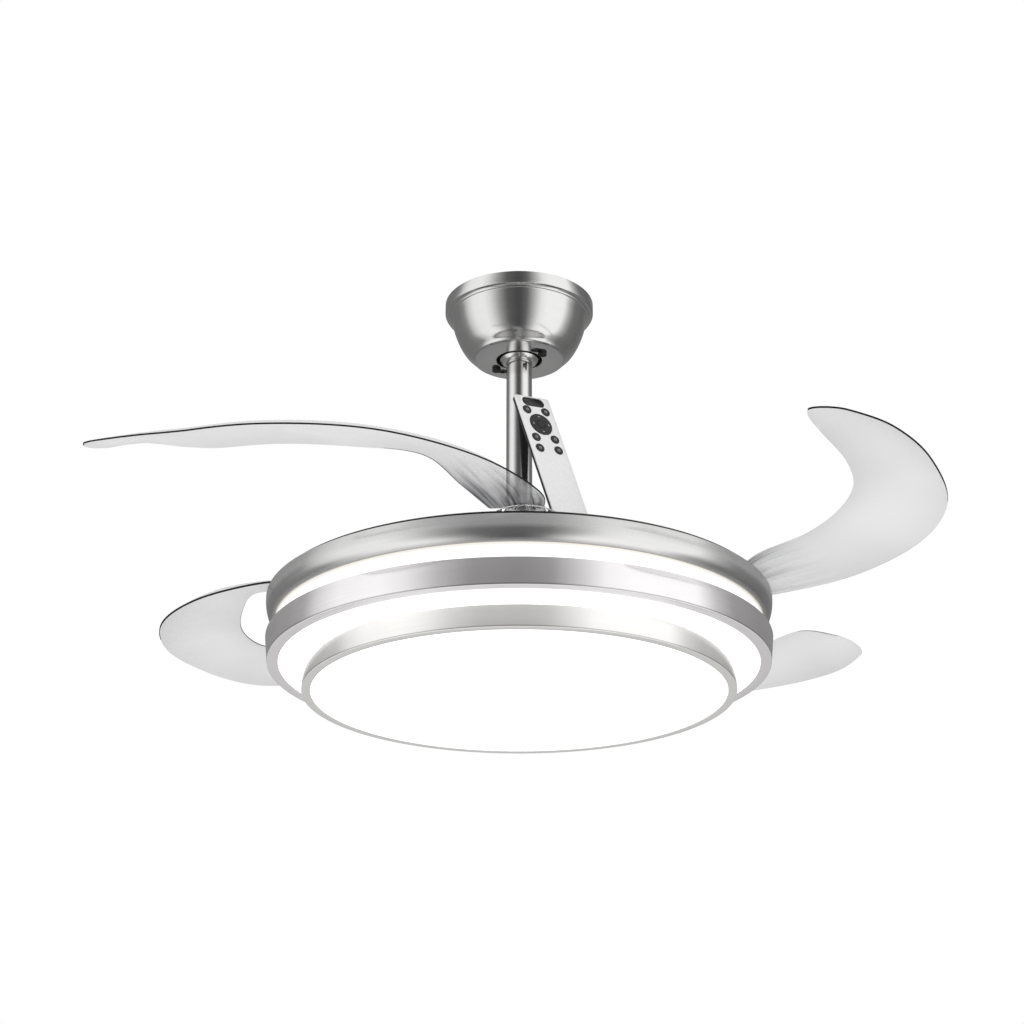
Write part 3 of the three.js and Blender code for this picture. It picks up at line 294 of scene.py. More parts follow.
def around(material, turn, across):
    """Coordinates that run round the Z axis, so that noise in them becomes brushing lines.

    turn is in noise cells per radian, and across in noise cells per metre outwards and upwards."""
    place = material.add("ShaderNodeTexCoord").outputs["Object"]
    apart = material.add("ShaderNodeSeparateXYZ")
    material.link(place, apart.inputs[0])
    x, y, z = apart.outputs
    angle = material.math("ARCTAN2", y, x)
    radius = material.math("SQRT", material.math("ADD", material.math("MULTIPLY", x, x),
                                                 material.math("MULTIPLY", y, y)))
    joined = material.add("ShaderNodeCombineXYZ")
    material.link(material.math("MULTIPLY", angle, turn), joined.inputs[0])
    material.link(material.math("MULTIPLY", radius, across), joined.inputs[1])
    material.link(material.math("MULTIPLY", z, across), joined.inputs[2])
    return joined.outputs[0]


FINE_LINES = 1500
BROAD_LINES = 90
FINE_SHARE = 0.6


def brushed(name, color, roughness=0.14, depth=0.03, painted_bands=None):
    """Metal brushed on a lathe: fine lines round the axis, which stretch its highlights upright.

    When bands by height are given, they are (bottom, top, stops), and a stop is (share of the height, grey,
    metallic share): greys and metallic shares that paint bands of reflected light and shade up the hoop."""
    m = Nodes(name, color, roughness, 1.0)
    fine = m.noise(1.0, 5, around(m, 2.0, FINE_LINES), 0.6)
    broad = m.noise(1.0, 3, around(m, 1.2, BROAD_LINES))
    mixed = m.math("ADD", m.math("MULTIPLY", fine, FINE_SHARE), m.math("MULTIPLY", broad, 1 - FINE_SHARE))
    shade_of = m.span(mixed, 0.955, 1.03, 0.3, 0.7)
    if painted_bands:
        bottom, top, stops = painted_bands
        place = m.add("ShaderNodeSeparateXYZ")
        m.link(m.add("ShaderNodeTexCoord").outputs["Object"], place.inputs[0])
        # Painted light and shade: grey and metallic share change with height to paint the bands that the
        # hoops reflect.
        height = m.span(place.outputs[2], 0, 1, bottom * MM, top * MM)
        tone = m.ramp(height, [(share, (grey, grey, grey)) for share, grey, _ in stops])
        shade_of = m.math("MULTIPLY", shade_of, tone)
        m.link(m.ramp(height, [(share, (metal, metal, metal)) for share, _, metal in stops]),
               m.shader.inputs["Metallic"])
    tint = m.add("ShaderNodeMix", data_type="RGBA", blend_type="MULTIPLY")
    tint.inputs["Factor"].default_value = 1.0
    tint.inputs["A"].default_value = (*color, 1)
    grey = m.add("ShaderNodeCombineColor")
    for channel in grey.inputs[:3]:
        m.link(shade_of, channel)
    m.link(grey.outputs[0], tint.inputs["B"])
    m.link(tint.outputs["Result"], m.shader.inputs["Base Color"])
    m.link(m.span(fine, roughness * 0.75, roughness * 1.3, 0.3, 0.7), m.shader.inputs["Roughness"])
    m.set("Anisotropic", 0.3)
    tangent = m.add("ShaderNodeTangent", direction_type="RADIAL", axis="Z")
    m.link(tangent.outputs[0], m.shader.inputs["Tangent"])
    m.bump(fine, depth, 0.00003)
    return m.material


def cast(name, color, roughness, metallic=1.0):
    """Plain machined or pressed metal with fine grit in its surface."""
    m = Nodes(name, color, roughness, metallic)
    grit = m.noise(900, 5)
    cloud = m.noise(30, 3)
    low, high = shades(color, 0.9, 1.06)
    m.link(m.ramp(cloud, [(0.35, low), (0.65, high)]), m.shader.inputs["Base Color"])
    m.link(m.span(grit, roughness - 0.06, roughness + 0.08), m.shader.inputs["Roughness"])
    m.bump(grit, 0.15, 0.00005)
    return m.material


def moulded(name, color, roughness, peel=0.00006, coat=0.0, cloudiness=22):
    """Injection-moulded or painted surface with a faint orange peel."""
    m = Nodes(name, color, roughness)
    grit = m.noise(1400, 4)
    cloud = m.noise(cloudiness, 3)
    low, high = shades(color, 0.95, 1.05)
    m.link(m.ramp(cloud, [(0.35, low), (0.65, high)]), m.shader.inputs["Base Color"])
    m.link(m.span(grit, roughness - 0.04, roughness + 0.06), m.shader.inputs["Roughness"])
    m.set("Coat Weight", coat)
    m.bump(grit, 0.12, peel)
    return m.material


ROOT_SHARE = 0.24  # share of a blade's length that has painted refraction streaks
# Painted shade: extra opacity towards the sheet's two long edges, where clear edges look darker.
EDGE_PAINTED_SHADE = 0.06


def clear_sheet(name, color, density, roughness):
    """Thin clear plastic with a grey cast. Near the boss, painted light and dark streaks stand in for the
    light that the clear plastic bends there.

    The mesh carries its share of the length and of the width in the attribute "flow"."""
    m = Nodes(name, color, roughness)
    waves = m.noise(5, 2)
    sheet_share = m.add("ShaderNodeAttribute", attribute_name="sheet_share")
    apart = m.add("ShaderNodeSeparateXYZ")
    m.link(sheet_share.outputs["Vector"], apart.inputs[0])
    length, width, _ = apart.outputs
    stretched = m.add("ShaderNodeCombineXYZ")
    m.link(m.math("MULTIPLY", length, 5.0), stretched.inputs[0])
    m.link(m.math("MULTIPLY", width, 16.0), stretched.inputs[1])
    lines = m.noise(1.0, 3, stretched.outputs[0], 0.55)
    root = m.span(length, 1.0, 0.0, 0.05, ROOT_SHARE)
    streaks = m.span(lines, 0.0, 1.0, 0.40, 0.62)
    # The sheet is made more opaque towards its long edges: painted shade.
    middle = m.math("MULTIPLY", m.math("MULTIPLY", width, m.math("SUBTRACT", 1.0, width)), 4.0)
    body = m.math("ADD", m.span(waves, density - 0.05, density + 0.04, 0.3, 0.7),
                  m.math("MULTIPLY", m.math("SUBTRACT", 1.0, middle), EDGE_PAINTED_SHADE))
    # Painted refraction streaks near the boss: more opacity, and tones from light to near black.
    cast_of = m.math("MULTIPLY", m.span(streaks, 0.38, 0.72), m.math("POWER", root, 1.5))
    m.link(m.math("ADD", body, cast_of), m.shader.inputs["Alpha"])
    refraction_streak_tones = m.ramp(streaks, [(0.0, (0.92, 0.92, 0.93)), (0.4, (0.74, 0.74, 0.75)),
                             (0.75, (0.48, 0.48, 0.50)), (1.0, (0.18, 0.18, 0.20))])
    tint = m.add("ShaderNodeMix", data_type="RGBA")
    tint.inputs["A"].default_value = (*color, 1)
    m.link(refraction_streak_tones, tint.inputs["B"])
    m.link(m.math("MINIMUM", m.math("MULTIPLY", root, 2.0), 1.0), tint.inputs["Factor"])
    m.link(tint.outputs["Result"], m.shader.inputs["Base Color"])
    m.link(m.span(waves, roughness * 0.6, roughness * 1.6), m.shader.inputs["Roughness"])
    m.bump(lines, 0.12, 0.0012)
    return m.material


def clear_block(name, color, roughness):
    """Thick clear plastic that bends what lies behind it."""
    m = Nodes(name, color, roughness)
    m.set("Transmission Weight", 1.0)
    m.set("IOR", 1.45)
    waves = m.noise(9, 2)
    m.link(m.span(waves, roughness * 0.7, roughness * 1.5), m.shader.inputs["Roughness"])
    m.bump(waves, 0.06, 0.0006)
    return m.material


SHADOW_TINT = (0.56, 0.53, 0.47)


def opal(name, color, shadow=None):
    """Lit opal cover: light comes through it evenly, with a trace of cloudiness.

    shadow gives two heights in mm, between which the light turns warm and weaker."""
    m = Nodes(name, color, 0.4)
    cloud = m.noise(14, 2)
    low, high = shades((1, 1, 1), 0.985, 1.0)
    light = m.ramp(cloud, [(0.3, low), (0.7, high)])
    if shadow:
        place = m.add("ShaderNodeSeparateXYZ")
        m.link(m.add("ShaderNodeTexCoord").outputs["Object"], place.inputs[0])
        height = m.span(place.outputs[2], 0, 1, shadow[0] * MM, shadow[1] * MM)
        warm = m.add("ShaderNodeMix", data_type="RGBA", blend_type="MULTIPLY")
        warm.inputs["Factor"].default_value = 1.0
        m.link(light, warm.inputs["A"])
        m.link(m.ramp(height, [(0.0, (1, 1, 1)), (1.0, SHADOW_TINT)]), warm.inputs["B"])
        light = warm.outputs["Result"]
    m.link(light, m.shader.inputs["Emission Color"])
    m.set("Emission Strength", 1.0)
    m.set("Coat Weight", 0.15)
    return m.material


NICKEL = (0.82, 0.815, 0.81)
nickel = brushed("nickel", NICKEL)
nickel_rod = brushed("nickel_rod", NICKEL, 0.16, depth=0.015)
# Painted reflection bands, by share of the height, grey and metallic share: they paint the light and dark
# bands that the hoops reflect. The two lower hoops begin with a lip made nearly non-metallic, which paints
# it an evenly lit light grey.
PAINTED_LIP = [(0.0, 1.0, 0.12), (0.02, 1.0, 0.12)]
PAN_PAINTED_BANDS = [(0.0, 0.62, 0.5), (0.12, 1.0, 0.97), (0.42, 0.98, 0.92), (0.6, 0.90, 0.66), (1.0, 0.84, 0.60)]
MIDDLE_PAINTED_BANDS = [*PAINTED_LIP, (0.04, 0.40, 0.8), (0.09, 1.0, 0.80), (1.0, 1.0, 0.76)]
LOWER_PAINTED_BANDS = [*PAINTED_LIP, (0.04, 0.45, 0.7), (0.10, 1.0, 0.60), (1.0, 1.0, 0.52)]
nickel_pan = brushed("nickel_pan", NICKEL, painted_bands=(PAN_BOTTOM, PAN_TOP, PAN_PAINTED_BANDS))
nickel_mauve = brushed("nickel_mauve", (0.98, 0.955, 0.97), 0.11,
                       painted_bands=(MIDDLE_BOTTOM, MIDDLE_TOP, MIDDLE_PAINTED_BANDS))
nickel_warm = brushed("nickel_warm", (0.98, 0.97, 0.95), 0.11,
                      painted_bands=(DRUM_BOTTOM, LOWER_TOP, LOWER_PAINTED_BANDS))
steel = cast("steel", (0.52, 0.52, 0.515), 0.34)
black_steel = moulded("black_steel", (0.012, 0.012, 0.014), 0.42, coat=0.2)
clear_plastic = clear_sheet("clear_plastic", (0.36, 0.36, 0.365), 0.19, 0.06)
clear_root = clear_block("clear_root", (0.90, 0.90, 0.91), 0.02)
edge_line_shade = moulded("edge_line_shade", (0.004, 0.004, 0.006), 0.75)
opal_plastic = opal("opal_plastic", (0.95, 0.95, 0.95))
opal_side = opal("opal_side", (0.42, 0.42, 0.42), shadow=(PAN_BOTTOM - 7.9, PAN_BOTTOM - 1.4))
white_paint = moulded("white_paint", (0.86, 0.86, 0.85), 0.45)
nylon = moulded("nylon", (0.78, 0.78, 0.75), 0.5)
copper = cast("copper", (0.55, 0.25, 0.10), 0.42, 0.9)
silver_plastic = moulded("silver_plastic", (0.93, 0.93, 0.93), 0.33, coat=0.2, cloudiness=800)
black_plastic = moulded("black_plastic", (0.022, 0.022, 0.024), 0.42)
key_plastic = moulded("key_plastic", (0.022, 0.022, 0.024), 0.45)
gloss_black = moulded("gloss_black", (0.003, 0.003, 0.004), 0.12, peel=0.0)
shaded_steel = cast("shaded_steel", (0.07, 0.07, 0.072), 0.5)
print_grey = moulded("print_grey", (0.42, 0.42, 0.43), 0.5)
board_green = moulded("board_green", (0.03, 0.13, 0.06), 0.45)

BY_SLOT = {
    "nickel": nickel,
    "steel": steel,
    "black_steel": black_steel,
    "clear_plastic": clear_plastic,
    "opal_plastic": opal_plastic,
    "white_paint": white_paint,
    "nylon": nylon,
    "copper": copper,
    "silver_plastic": silver_plastic,
    "black_plastic": black_plastic,
    "board_green": board_green,
}

for entry in frame["record"]["subparts"]:
    node = nodes[entry["node"]]
    node.data.materials.clear()
    # The canopy's screws sit in the keyholes, inside the canopy: they get a near-black steel as painted
    # shade, in place of their slot's material.
    shaded_screw = entry["node"].startswith("canopy_screw")
    node.data.materials.append(shaded_steel if shaded_screw else BY_SLOT[entry["material_slot"]])
    shade(node.data, 32)


# ---- canopy, ball and rod ---------------------------------------------------------------------

def smooth_line(points, steps):
    """Points of a smooth curve through the given ones."""
    padded = [Vector(points[0]) * 2 - Vector(points[1])]
    padded += [Vector(p) for p in points]
    padded.append(Vector(points[-1]) * 2 - Vector(points[-2]))
    out = []
    for i in range(1, len(padded) - 2):
        a, b, c, d = padded[i - 1:i + 3]
        for k in range(steps):
            t = k / steps
            out.append(0.5 * (2 * b + (c - a) * t + (2 * a - 5 * b + 4 * c - d) * t**2
                              + (3 * b - 3 * c + d - a) * t**3))
    out.append(padded[-2])
    return out


# The canopy's two keyholes, in mm and degrees.
KEYHOLE_PLACE = 30.8
KEYHOLE_START = 142
KEYHOLE_RUN = 17
KEYHOLE_STEPS = 8
KEYHOLE_NECK = 2.7
KEYHOLE_HEAD = 5.2


def canopy_mesh():
    """Bowl with a stepped rim, open at the top, and a flat foot with the rod's hole and two keyholes."""
    bowl = smooth_line([(71.8, -17.5), (69.2, -29), (64.2, -42.5), (57.6, -54), (49.6, -62)], 6)
    outer = [(78.9, -0.3), (78.9, -10.6), (77.6, -12.6), (75.4, -13.2), (74.2, -14.2),
             (73.9, -15.4), (72.8, -15.6), (72.2, -16.4)]
    inner = [(r - WALL, z + WALL * min(1, i / 20)) for i, (r, z) in enumerate(bowl)]
    foot = [(48.5, -63.5), (46.7, -64.6), (44.6, -65), (24.6, -65), (24, -64.4), (24, -63.5), (43, -63.5)]
    corners = [*outer, *bowl, *foot, *reversed(inner), (70.5, -13), (75.9, -11.2), (77.4, -0.3)]
    shell = lathe_mesh("canopy_shell", corners, faces=180, round_by=0.25)
    holes = []
    for turn in (0, 180):
        for step in range(KEYHOLE_STEPS + 1):
            at = polar(KEYHOLE_PLACE, KEYHOLE_START + turn - KEYHOLE_RUN * step / KEYHOLE_STEPS)
            radius = KEYHOLE_HEAD if step == KEYHOLE_STEPS else KEYHOLE_NECK
            holes.append(rod_mesh(radius, -67, -61, 20, at.x, at.y))
    return carve(shell, holes)


add_object("canopy_shell", canopy_mesh(), "mount", nickel, ["canopy"])
# A near-black sheet inside the canopy's bowl: painted shade for the inside of the canopy, which the ceiling
# closes so that no light gets in.
inside_shade_out = [(77.1, -0.6), (75.7, -10.9), (70.2, -12.8), (70, -17.3), (67.4, -28.8), (62.4, -42.2),
              (55.8, -53.6), (48, -61.4), (43, -63.2), (26.4, -63.2)]
inside_shade = [*inside_shade_out, *((r - 0.5, z + 0.3) for r, z in reversed(inside_shade_out))]
add_object("canopy_inside_shade", lathe_mesh("canopy_inside_shade", inside_shade, 96, round_by=0), "mount", black_plastic, [])


def ball_mesh(steps=16):
    """Ball cut flat above and below, and bored for the rod."""
    low, high = BALL_CUTS
    profile = []
    for i in range(steps + 1):
        tilt = math.radians(low + (high - low) * i / steps)
        profile.append((BALL_RADIUS * math.cos(tilt), BALL_CENTRE + BALL_RADIUS * math.sin(tilt)))
    bore = ROD_RADIUS + ROD_FIT
    corners = [(bore, profile[0][1]), *profile, (bore, profile[-1][1])]
    return lathe_mesh("hanger_ball_turned", corners, faces=96, round_by=0.3)


add_object("hanger_ball_turned", ball_mesh(), "fan", black_plastic, ["hanger_ball"])
collar = [(13.7, -60.2), (17.6, -60.2), (20.3, -62.6), (20.3, -64.6), (17.6, -67.8), (13.7, -68.8)]
add_object("ball_collar", lathe_mesh("ball_collar", collar, 96), "fan", nickel, [])
rod_profile = [(ROD_BORE, ROD_END), (ROD_RADIUS, ROD_END), (ROD_RADIUS, ROD_TOP), (ROD_BORE, ROD_TOP)]
rod_shell = lathe_mesh("downrod_tube", rod_profile, faces=96, round_by=0.3)
add_object("downrod_tube", rod_shell, "fan", nickel_rod, ["downrod"])
coupling = [(ROD_RADIUS + ROD_FIT, -276), (18, -276), (20, -278), (20, -318), (17, -322), (10.3, -322),
            (10.3, ROD_END - ROD_FIT), (ROD_RADIUS + ROD_FIT, ROD_END - ROD_FIT)]
add_object("coupling_turned", lathe_mesh("coupling_turned", coupling, 96), "fan", nickel_rod,
           ["rod_coupling"])
hub = [(52, -336.7), (54, -336.7), (54, -323), (50, -317), (37.6, -310), (25.2, -303), (23.2, -297),
       (21.2, -297), (21.2, -305), (35.6, -312), (48, -319), (52, -324)]
add_object("hub_cover_turned", lathe_mesh("hub_cover_turned", hub, 128, round_by=0.8), "rotor", nickel,
           ["hub_cover"])


# ---- drum -------------------------------------------------------------------------------------

def pan_mesh():
    """Upper hoop with a curved flank, and a well in its floor for the motor's foot."""
    height = PAN_TOP - PAN_BOTTOM
    wall = smooth_line([(253.4, PAN_TOP), (253.1, PAN_TOP - 0.35 * height),
                        (250.7, PAN_TOP - 0.72 * height), (245, PAN_BOTTOM)], 6)
    inner = [(r - WALL, z) for r, z in wall[:-3]]
    well = [(WELL_RADIUS, PAN_BOTTOM), (WELL_RADIUS, WELL_FLOOR), (10.4, WELL_FLOOR),
            (10.4, WELL_FLOOR + WALL), (WELL_RADIUS - WALL, WELL_FLOOR + WALL),
            (WELL_RADIUS - WALL, PAN_BOTTOM + WALL)]
    corners = [*wall, *well, (243.2, PAN_BOTTOM + WALL), *reversed(inner)]
    return lathe_mesh("pan_hoop", corners, faces=240, round_by=0.35)


add_object("pan_hoop", pan_mesh(), "fan", nickel_pan, ["top_pan"])

side_corners = [(241.8, -403.8), (244, -403.8), (244, -364.9), (241.8, -364.9)]
middle_corners = [(244.3, MIDDLE_TOP), (252.5, MIDDLE_TOP), (250, MIDDLE_BOTTOM), (238.7, MIDDLE_BOTTOM),
                  (238.7, MIDDLE_BOTTOM + WALL), (248.5, MIDDLE_BOTTOM + WALL), (251, MIDDLE_TOP - WALL),
                  (244.3, MIDDLE_TOP - WALL)]
annular_corners = [(247.9, -406.2), (238.4, -406.2), (238.4, -407.6), (215.3, LOWER_TOP),
                   (215.3, LOWER_TOP + 2.2), (237.4, -404), (247.9, -404)]
lower_corners = [(206, DRUM_BOTTOM), (215, DRUM_BOTTOM), (215, -410.3), (218, -410.3), (218, -408.8),
                 (213.5, -408.8), (213.5, DRUM_BOTTOM + WALL), (206, DRUM_BOTTOM + WALL)]
bottom_corners = [(0, -434.8), (205.7, -434.8), (205.7, -433.2), (213.2, -433.2), (213.2, -431),
                  (0, -431)]
add_object("side_cover", lathe_mesh("side_cover", side_corners, 240), "fan", opal_side,
           ["side_diffuser"])
add_object("middle_hoop", lathe_mesh("middle_hoop", middle_corners, 240, round_by=0.6), "fan",
           nickel_mauve, ["middle_ring"])
add_object("sloping_cover", lathe_mesh("sloping_cover", annular_corners, 240), "fan", opal_plastic,
           ["annular_diffuser"])
add_object("lower_hoop", lathe_mesh("lower_hoop", lower_corners, 240, round_by=0.6), "fan",
           nickel_warm, ["lower_ring"])
add_object("bottom_cover", lathe_mesh("bottom_cover", bottom_corners, 240, closed=False), "fan",
           opal_plastic, ["bottom_diffuser"])


# ---- rotor ------------------------------------------------------------------------------------

def pivot_angle(i):
    return FIRST_PIVOT_ANGLE + 90 * i


def disc_mesh():
    """Plate bored for the shaft and the four pivot screws, with four round openings between them."""
    corners = [(DISC_BORE, DISC_BOTTOM), (DISC_RADIUS, DISC_BOTTOM), (DISC_RADIUS, DISC_TOP),
               (DISC_BORE, DISC_TOP)]
    plate = lathe_mesh("disc_plate", corners, faces=240, round_by=0.5)
    holes = []
    for i in range(4):
        at = polar(PIVOT_RADIUS, pivot_angle(i))
        holes.append(rod_mesh(SCREW_BORE, DISC_BOTTOM - 1, DISC_TOP + 1, 32, at.x, at.y))
        at = polar(0.55 * PIVOT_RADIUS, pivot_angle(i) + 45)
        holes.append(rod_mesh(DISC_OPENING, DISC_BOTTOM - 1, DISC_TOP + 1, 48, at.x, at.y))
    return carve(plate, holes)


disc_plate = add_object("disc_plate", disc_mesh(), "rotor", black_steel, ["rotor_disc"])
disc_plate.visible_glossy = False  # so that it doesn't darken the hub and the hoops


# ---- blades -----------------------------------------------------------------------------------
# The two edges of a folded blade: degrees past its pivot, radius and height over the disc, in mm.

OUTER_EDGE = [(2, 225, 10.5), (12, 233, 15), (35, 231, 16), (60, 229, 18.5), (85, 225, 20),
              (110, 223, 23.5), (128, 228, 27.5), (140, 222, 33), (148, 211, 37.5)]
INNER_EDGE = [(2, 181, 12), (14, 158, 31), (35, 157, 41), (60, 142, 39.5), (85, 140, 39.5),
              (108, 142, 42), (126, 143, 53), (138, 158, 55), (148, 204, 39)]
CAMBER = [0, 5, 8, 9, 9, 8, 5, 2, 0]
STATIONS = 84
STRIPS = 14
ROOT_START = 0.031  # share of the length where the sheet leaves the boss
HALF_THICKNESS = 1.2
EDGE_INSET = 0.95
EDGE_FACING = 0.08  # how far an edge has to face the front to have the painted dark line
# For each blade: where its point begins, how far the tip is bent up in mm, the weight and the end of the
# painted dark line on its outer edge (none faces the front on blade 3), and the stretch of its inner edge
# with one.
BLADE_FIT = (
    (0.86, 31, 0.8, 0.885, (0.05, 0.33)),
    (0.88, 0, 0.9, 1.0, None),
    (0.90, 0, 0, 1.0, (0.82, 1.04)),
    (0.90, 0, 1.1, 1.0, (0.30, 0.92)),
)
LIFT_START = 0.58  # share of the length where a lifted tip starts to bend
LIFT_HELD = 0.68  # share of the bend past which it stays as it is
OUTER_BEND = 1.25
INNER_BEND = 3.2
TIP_SHARE = 0.945  # share of the inner edge where the two edges meet
SHARPNESS = 2.2
INNER_WEIGHT = 0.4
LINE_ROOT = 0.05


def folded_point(point):
    """Place in mm of an edge's point, from the blade's own pivot."""
    angle, radius, height = point
    spot = polar(radius, -90 - angle)
    return Vector((spot.x, spot.y + PIVOT_RADIUS, DISC_TOP + height))


def along(points, t):
    """Place at share t of a smooth curve through the points."""
    last = len(points) - 1
    i = min(int(t * last), last - 1)
    u = t * last - i
    b, c = points[i], points[i + 1]
    a = points[i - 1] if i > 0 else 2 * b - c
    d = points[i + 2] if i + 2 <= last else 2 * c - b
    return 0.5 * (2 * b + (c - a) * u + (2 * a - 5 * b + 4 * c - d) * u**2
                  + (3 * b - 3 * c + d - a) * u**3)


def blade_stations(point_start, lift):
    """Share of the length, outer edge, inner edge and camber at each station, in mm."""
    outer = [folded_point(p) for p in OUTER_EDGE]
    inner = [folded_point(p) for p in INNER_EDGE]
    camber = [Vector((0, 0, rise)) for rise in CAMBER]
    tip = along(inner, TIP_SHARE)
    out = []
    for i in range(STATIONS + 1):
        t = ROOT_START + (1 - ROOT_START) * i / STATIONS
        point = max(0, t - point_start) / (1 - point_start)
        start = along(outer, t)
        end = along(inner, t if t < point_start else point_start + (TIP_SHARE - point_start) * point)
        start += (end - start).normalized() * EDGE_INSET
        start = start.lerp(tip, 0.97 * point**SHARPNESS)
        bend = min(LIFT_HELD, max(0, t - LIFT_START) / (1 - LIFT_START))
        outer_lift, inner_lift = lift * bend**OUTER_BEND, lift * bend**INNER_BEND
        start.z += outer_lift
        end.z += inner_lift + (outer_lift - inner_lift) * point
        out.append((t, start, end, along(camber, t).z))
    return out


def blade_sheet(stations):
    """Cambered sheet through the stations, thinner at its edges, with the attribute "flow"."""
    made = bmesh.new()
    upper, lower, sheet_share = [], [], []
    for t, start, end, rise in stations:
        top_row, low_row = [], []
        for k in range(STRIPS + 1):
            across = 0.5 - 0.5 * math.cos(math.pi * k / STRIPS)
            bow = 4 * across * (1 - across)
            half = Vector((0, 0, HALF_THICKNESS * min(1.0, 0.45 + 1.6 * bow)))
            at = start.lerp(end, across)
            at.z += rise * bow
            top_row.append(made.verts.new((at + half) * MM))
            low_row.append(made.verts.new((at - half) * MM))
            sheet_share += [(t, across, 0)] * 2
        upper.append(top_row)
        lower.append(low_row)
    for i in range(len(stations) - 1):
        for k in range(STRIPS):
            made.faces.new([upper[i][k], upper[i][k + 1], upper[i + 1][k + 1], upper[i + 1][k]])
            made.faces.new([lower[i][k], lower[i + 1][k], lower[i + 1][k + 1], lower[i][k + 1]])
        for k in (0, STRIPS):
            made.faces.new([upper[i][k], upper[i + 1][k], lower[i + 1][k], lower[i][k]])
    for i in (0, len(stations) - 1):
        for k in range(STRIPS):
            made.faces.new([upper[i][k], upper[i][k + 1], lower[i][k + 1], lower[i][k]])
    bmesh.ops.recalc_face_normals(made, faces=made.faces)
    mesh = bpy.data.meshes.new("blade_sheet")
    made.to_mesh(mesh)
    made.free()
    layer = mesh.attributes.new("sheet_share", "FLOAT_VECTOR", "POINT")
    for item, value in zip(layer.data, sheet_share):
        item.vector = value
    shade(mesh)
    return mesh


def edge_line(name, stations, weight, share_at):
    """Painted shade on an edge: a thin near-black cap stands in for the dark that a clear edge shows by
    refraction. share_at says how bold it is at a station, from 0 to 1.
    """
    made = bmesh.new()
    rings = []
    for t, start, end, _ in stations:
        share = share_at(t, start, end)
        if share <= 0:
            rings.append(None)
            continue
        inward = (end - start).normalized()
        tall = Vector((0, 0, weight * (0.3 + 0.6 * share)))
        deep = inward * weight * (0.35 + 0.75 * share)
        near = start - inward * 0.1
        rings.append([made.verts.new(v * MM) for v in (near + tall, near - tall,
                                                       near + deep - tall, near + deep + tall)])
    for i, (a, b) in enumerate(zip(rings, rings[1:])):
        if a is None or b is None:
            continue
        for k in range(4):
            n = (k + 1) % 4
            made.faces.new([a[k], b[k], b[n], a[n]])
        if i == 0 or rings[i - 1] is None:
            made.faces.new(a)
        if i + 2 == len(rings) or rings[i + 2] is None:
            made.faces.new(b)
    loose = [v for v in made.verts if not v.link_faces]
    bmesh.ops.delete(made, geom=loose, context="VERTS")
    bmesh.ops.recalc_face_normals(made, faces=made.faces)
    mesh = bpy.data.meshes.new(name)
    made.to_mesh(mesh)
    made.free()
    shade(mesh, 50)
    return mesh


def blade_boss():
    """Clear boss of two tiers, bored for the pivot screw and sunk for its head."""
    step = BOSS_BOTTOM + 6.2
    corners = [(SCREW_BORE, BOSS_BOTTOM), (32, BOSS_BOTTOM), (32, step - 1.5), (30.5, step), (23.5, step),
               (22, BOSS_TOP - 1.5), (20.5, BOSS_TOP), (12, BOSS_TOP), (12, BOSS_TOP - 1.5),
               (SCREW_BORE, BOSS_TOP - 1.5)]
    return lathe_mesh("boss", corners, faces=96, round_by=0.9)


def add_blade(i, point_start, lift, weight, line_end, inner_run):
    turn = Matrix.Rotation(math.radians(pivot_angle(i) + 90), 4, "Z")
    open_turn = Matrix.Rotation(math.radians(OPEN_ANGLE), 4, "Z")
    placed = turn @ Matrix.Translation((0, -PIVOT_RADIUS * MM, 0)) @ open_turn
    stations = blade_stations(point_start, lift)

    def facing(t, start, end):
        """Share of the painted dark line on the outer edge, by how far that edge faces the front when open.
        """
        across = placed.to_3x3() @ (start - end)
        across.z = 0
        boldness = (-across.normalized().y - EDGE_FACING) / 0.3
        return min(1.0, boldness) if LINE_ROOT < t <= line_end else 0

    shapes = [
        ("clear_blade", blade_sheet(stations), clear_plastic, [f"blade_{i + 1}"]),
        ("blade_boss", blade_boss(), clear_root, []),
    ]
    # Near-black caps on the edges: painted shade where the clear edges look dark.
    if weight:
        shapes.append(("blade_edge", edge_line("blade_edge", stations, weight, facing), edge_line_shade, []))
    if inner_run:
        low, high = inner_run
        swapped = [(t, end, start, rise) for t, start, end, rise in stations]

        def within(t, start, end):
            """Share of the painted dark line on the inner edge, which fades at both ends of its run."""
            return min(1.0, 8 * (t - low), 8 * (high - t))

        inner_line = edge_line("inner_edge", swapped, INNER_WEIGHT, within)
        shapes.append(("inner_edge", inner_line, edge_line_shade, []))
    for name, mesh, material, node_names in shapes:
        add_object(f"{name}_{i + 1}", moved(mesh, placed), f"blade_arm_{i + 1}", material, node_names)


for i, fit in enumerate(BLADE_FIT):
    add_blade(i, *fit)


# ---- remote control ---------------------------------------------------------------------------
# Its own frame, in mm: X across the face, Y up along it, Z out of it, from the top edge at the back.

REMOTE_FRAME = Matrix(((0.81195, -0.26419, 0.52052, 0.0085),
                       (0.57146, 0.17789, -0.80112, -0.01125314),
                       (0.11905, 0.94792, 0.29541, -0.1175),
                       (0, 0, 0, 1)))
REMOTE_WIDTH = 44.0
REMOTE_LENGTH = 150.0
KEY_COLUMN = 11.8
KEY_SPOTS = [(x, y) for y in (-19, -55, -69) for x in (-KEY_COLUMN, KEY_COLUMN)]
KEY_RADIUS = 5.0
KEY_SEAT = 5.3
KEY_FLANGE = 6.1
KEY_TOP = 9.0
KEY_FIT = 0.3
PAD_SPOT = (0, -37)
PAD_RADIUS = 13.3
CENTRE_RADIUS = 4.4
MARK_BOTTOM = 8.5
WINDOW_SPOT = (0, -7.6)
WINDOW_SIZE = (27.3, 11.3)
WINDOW_FIT = 0.25


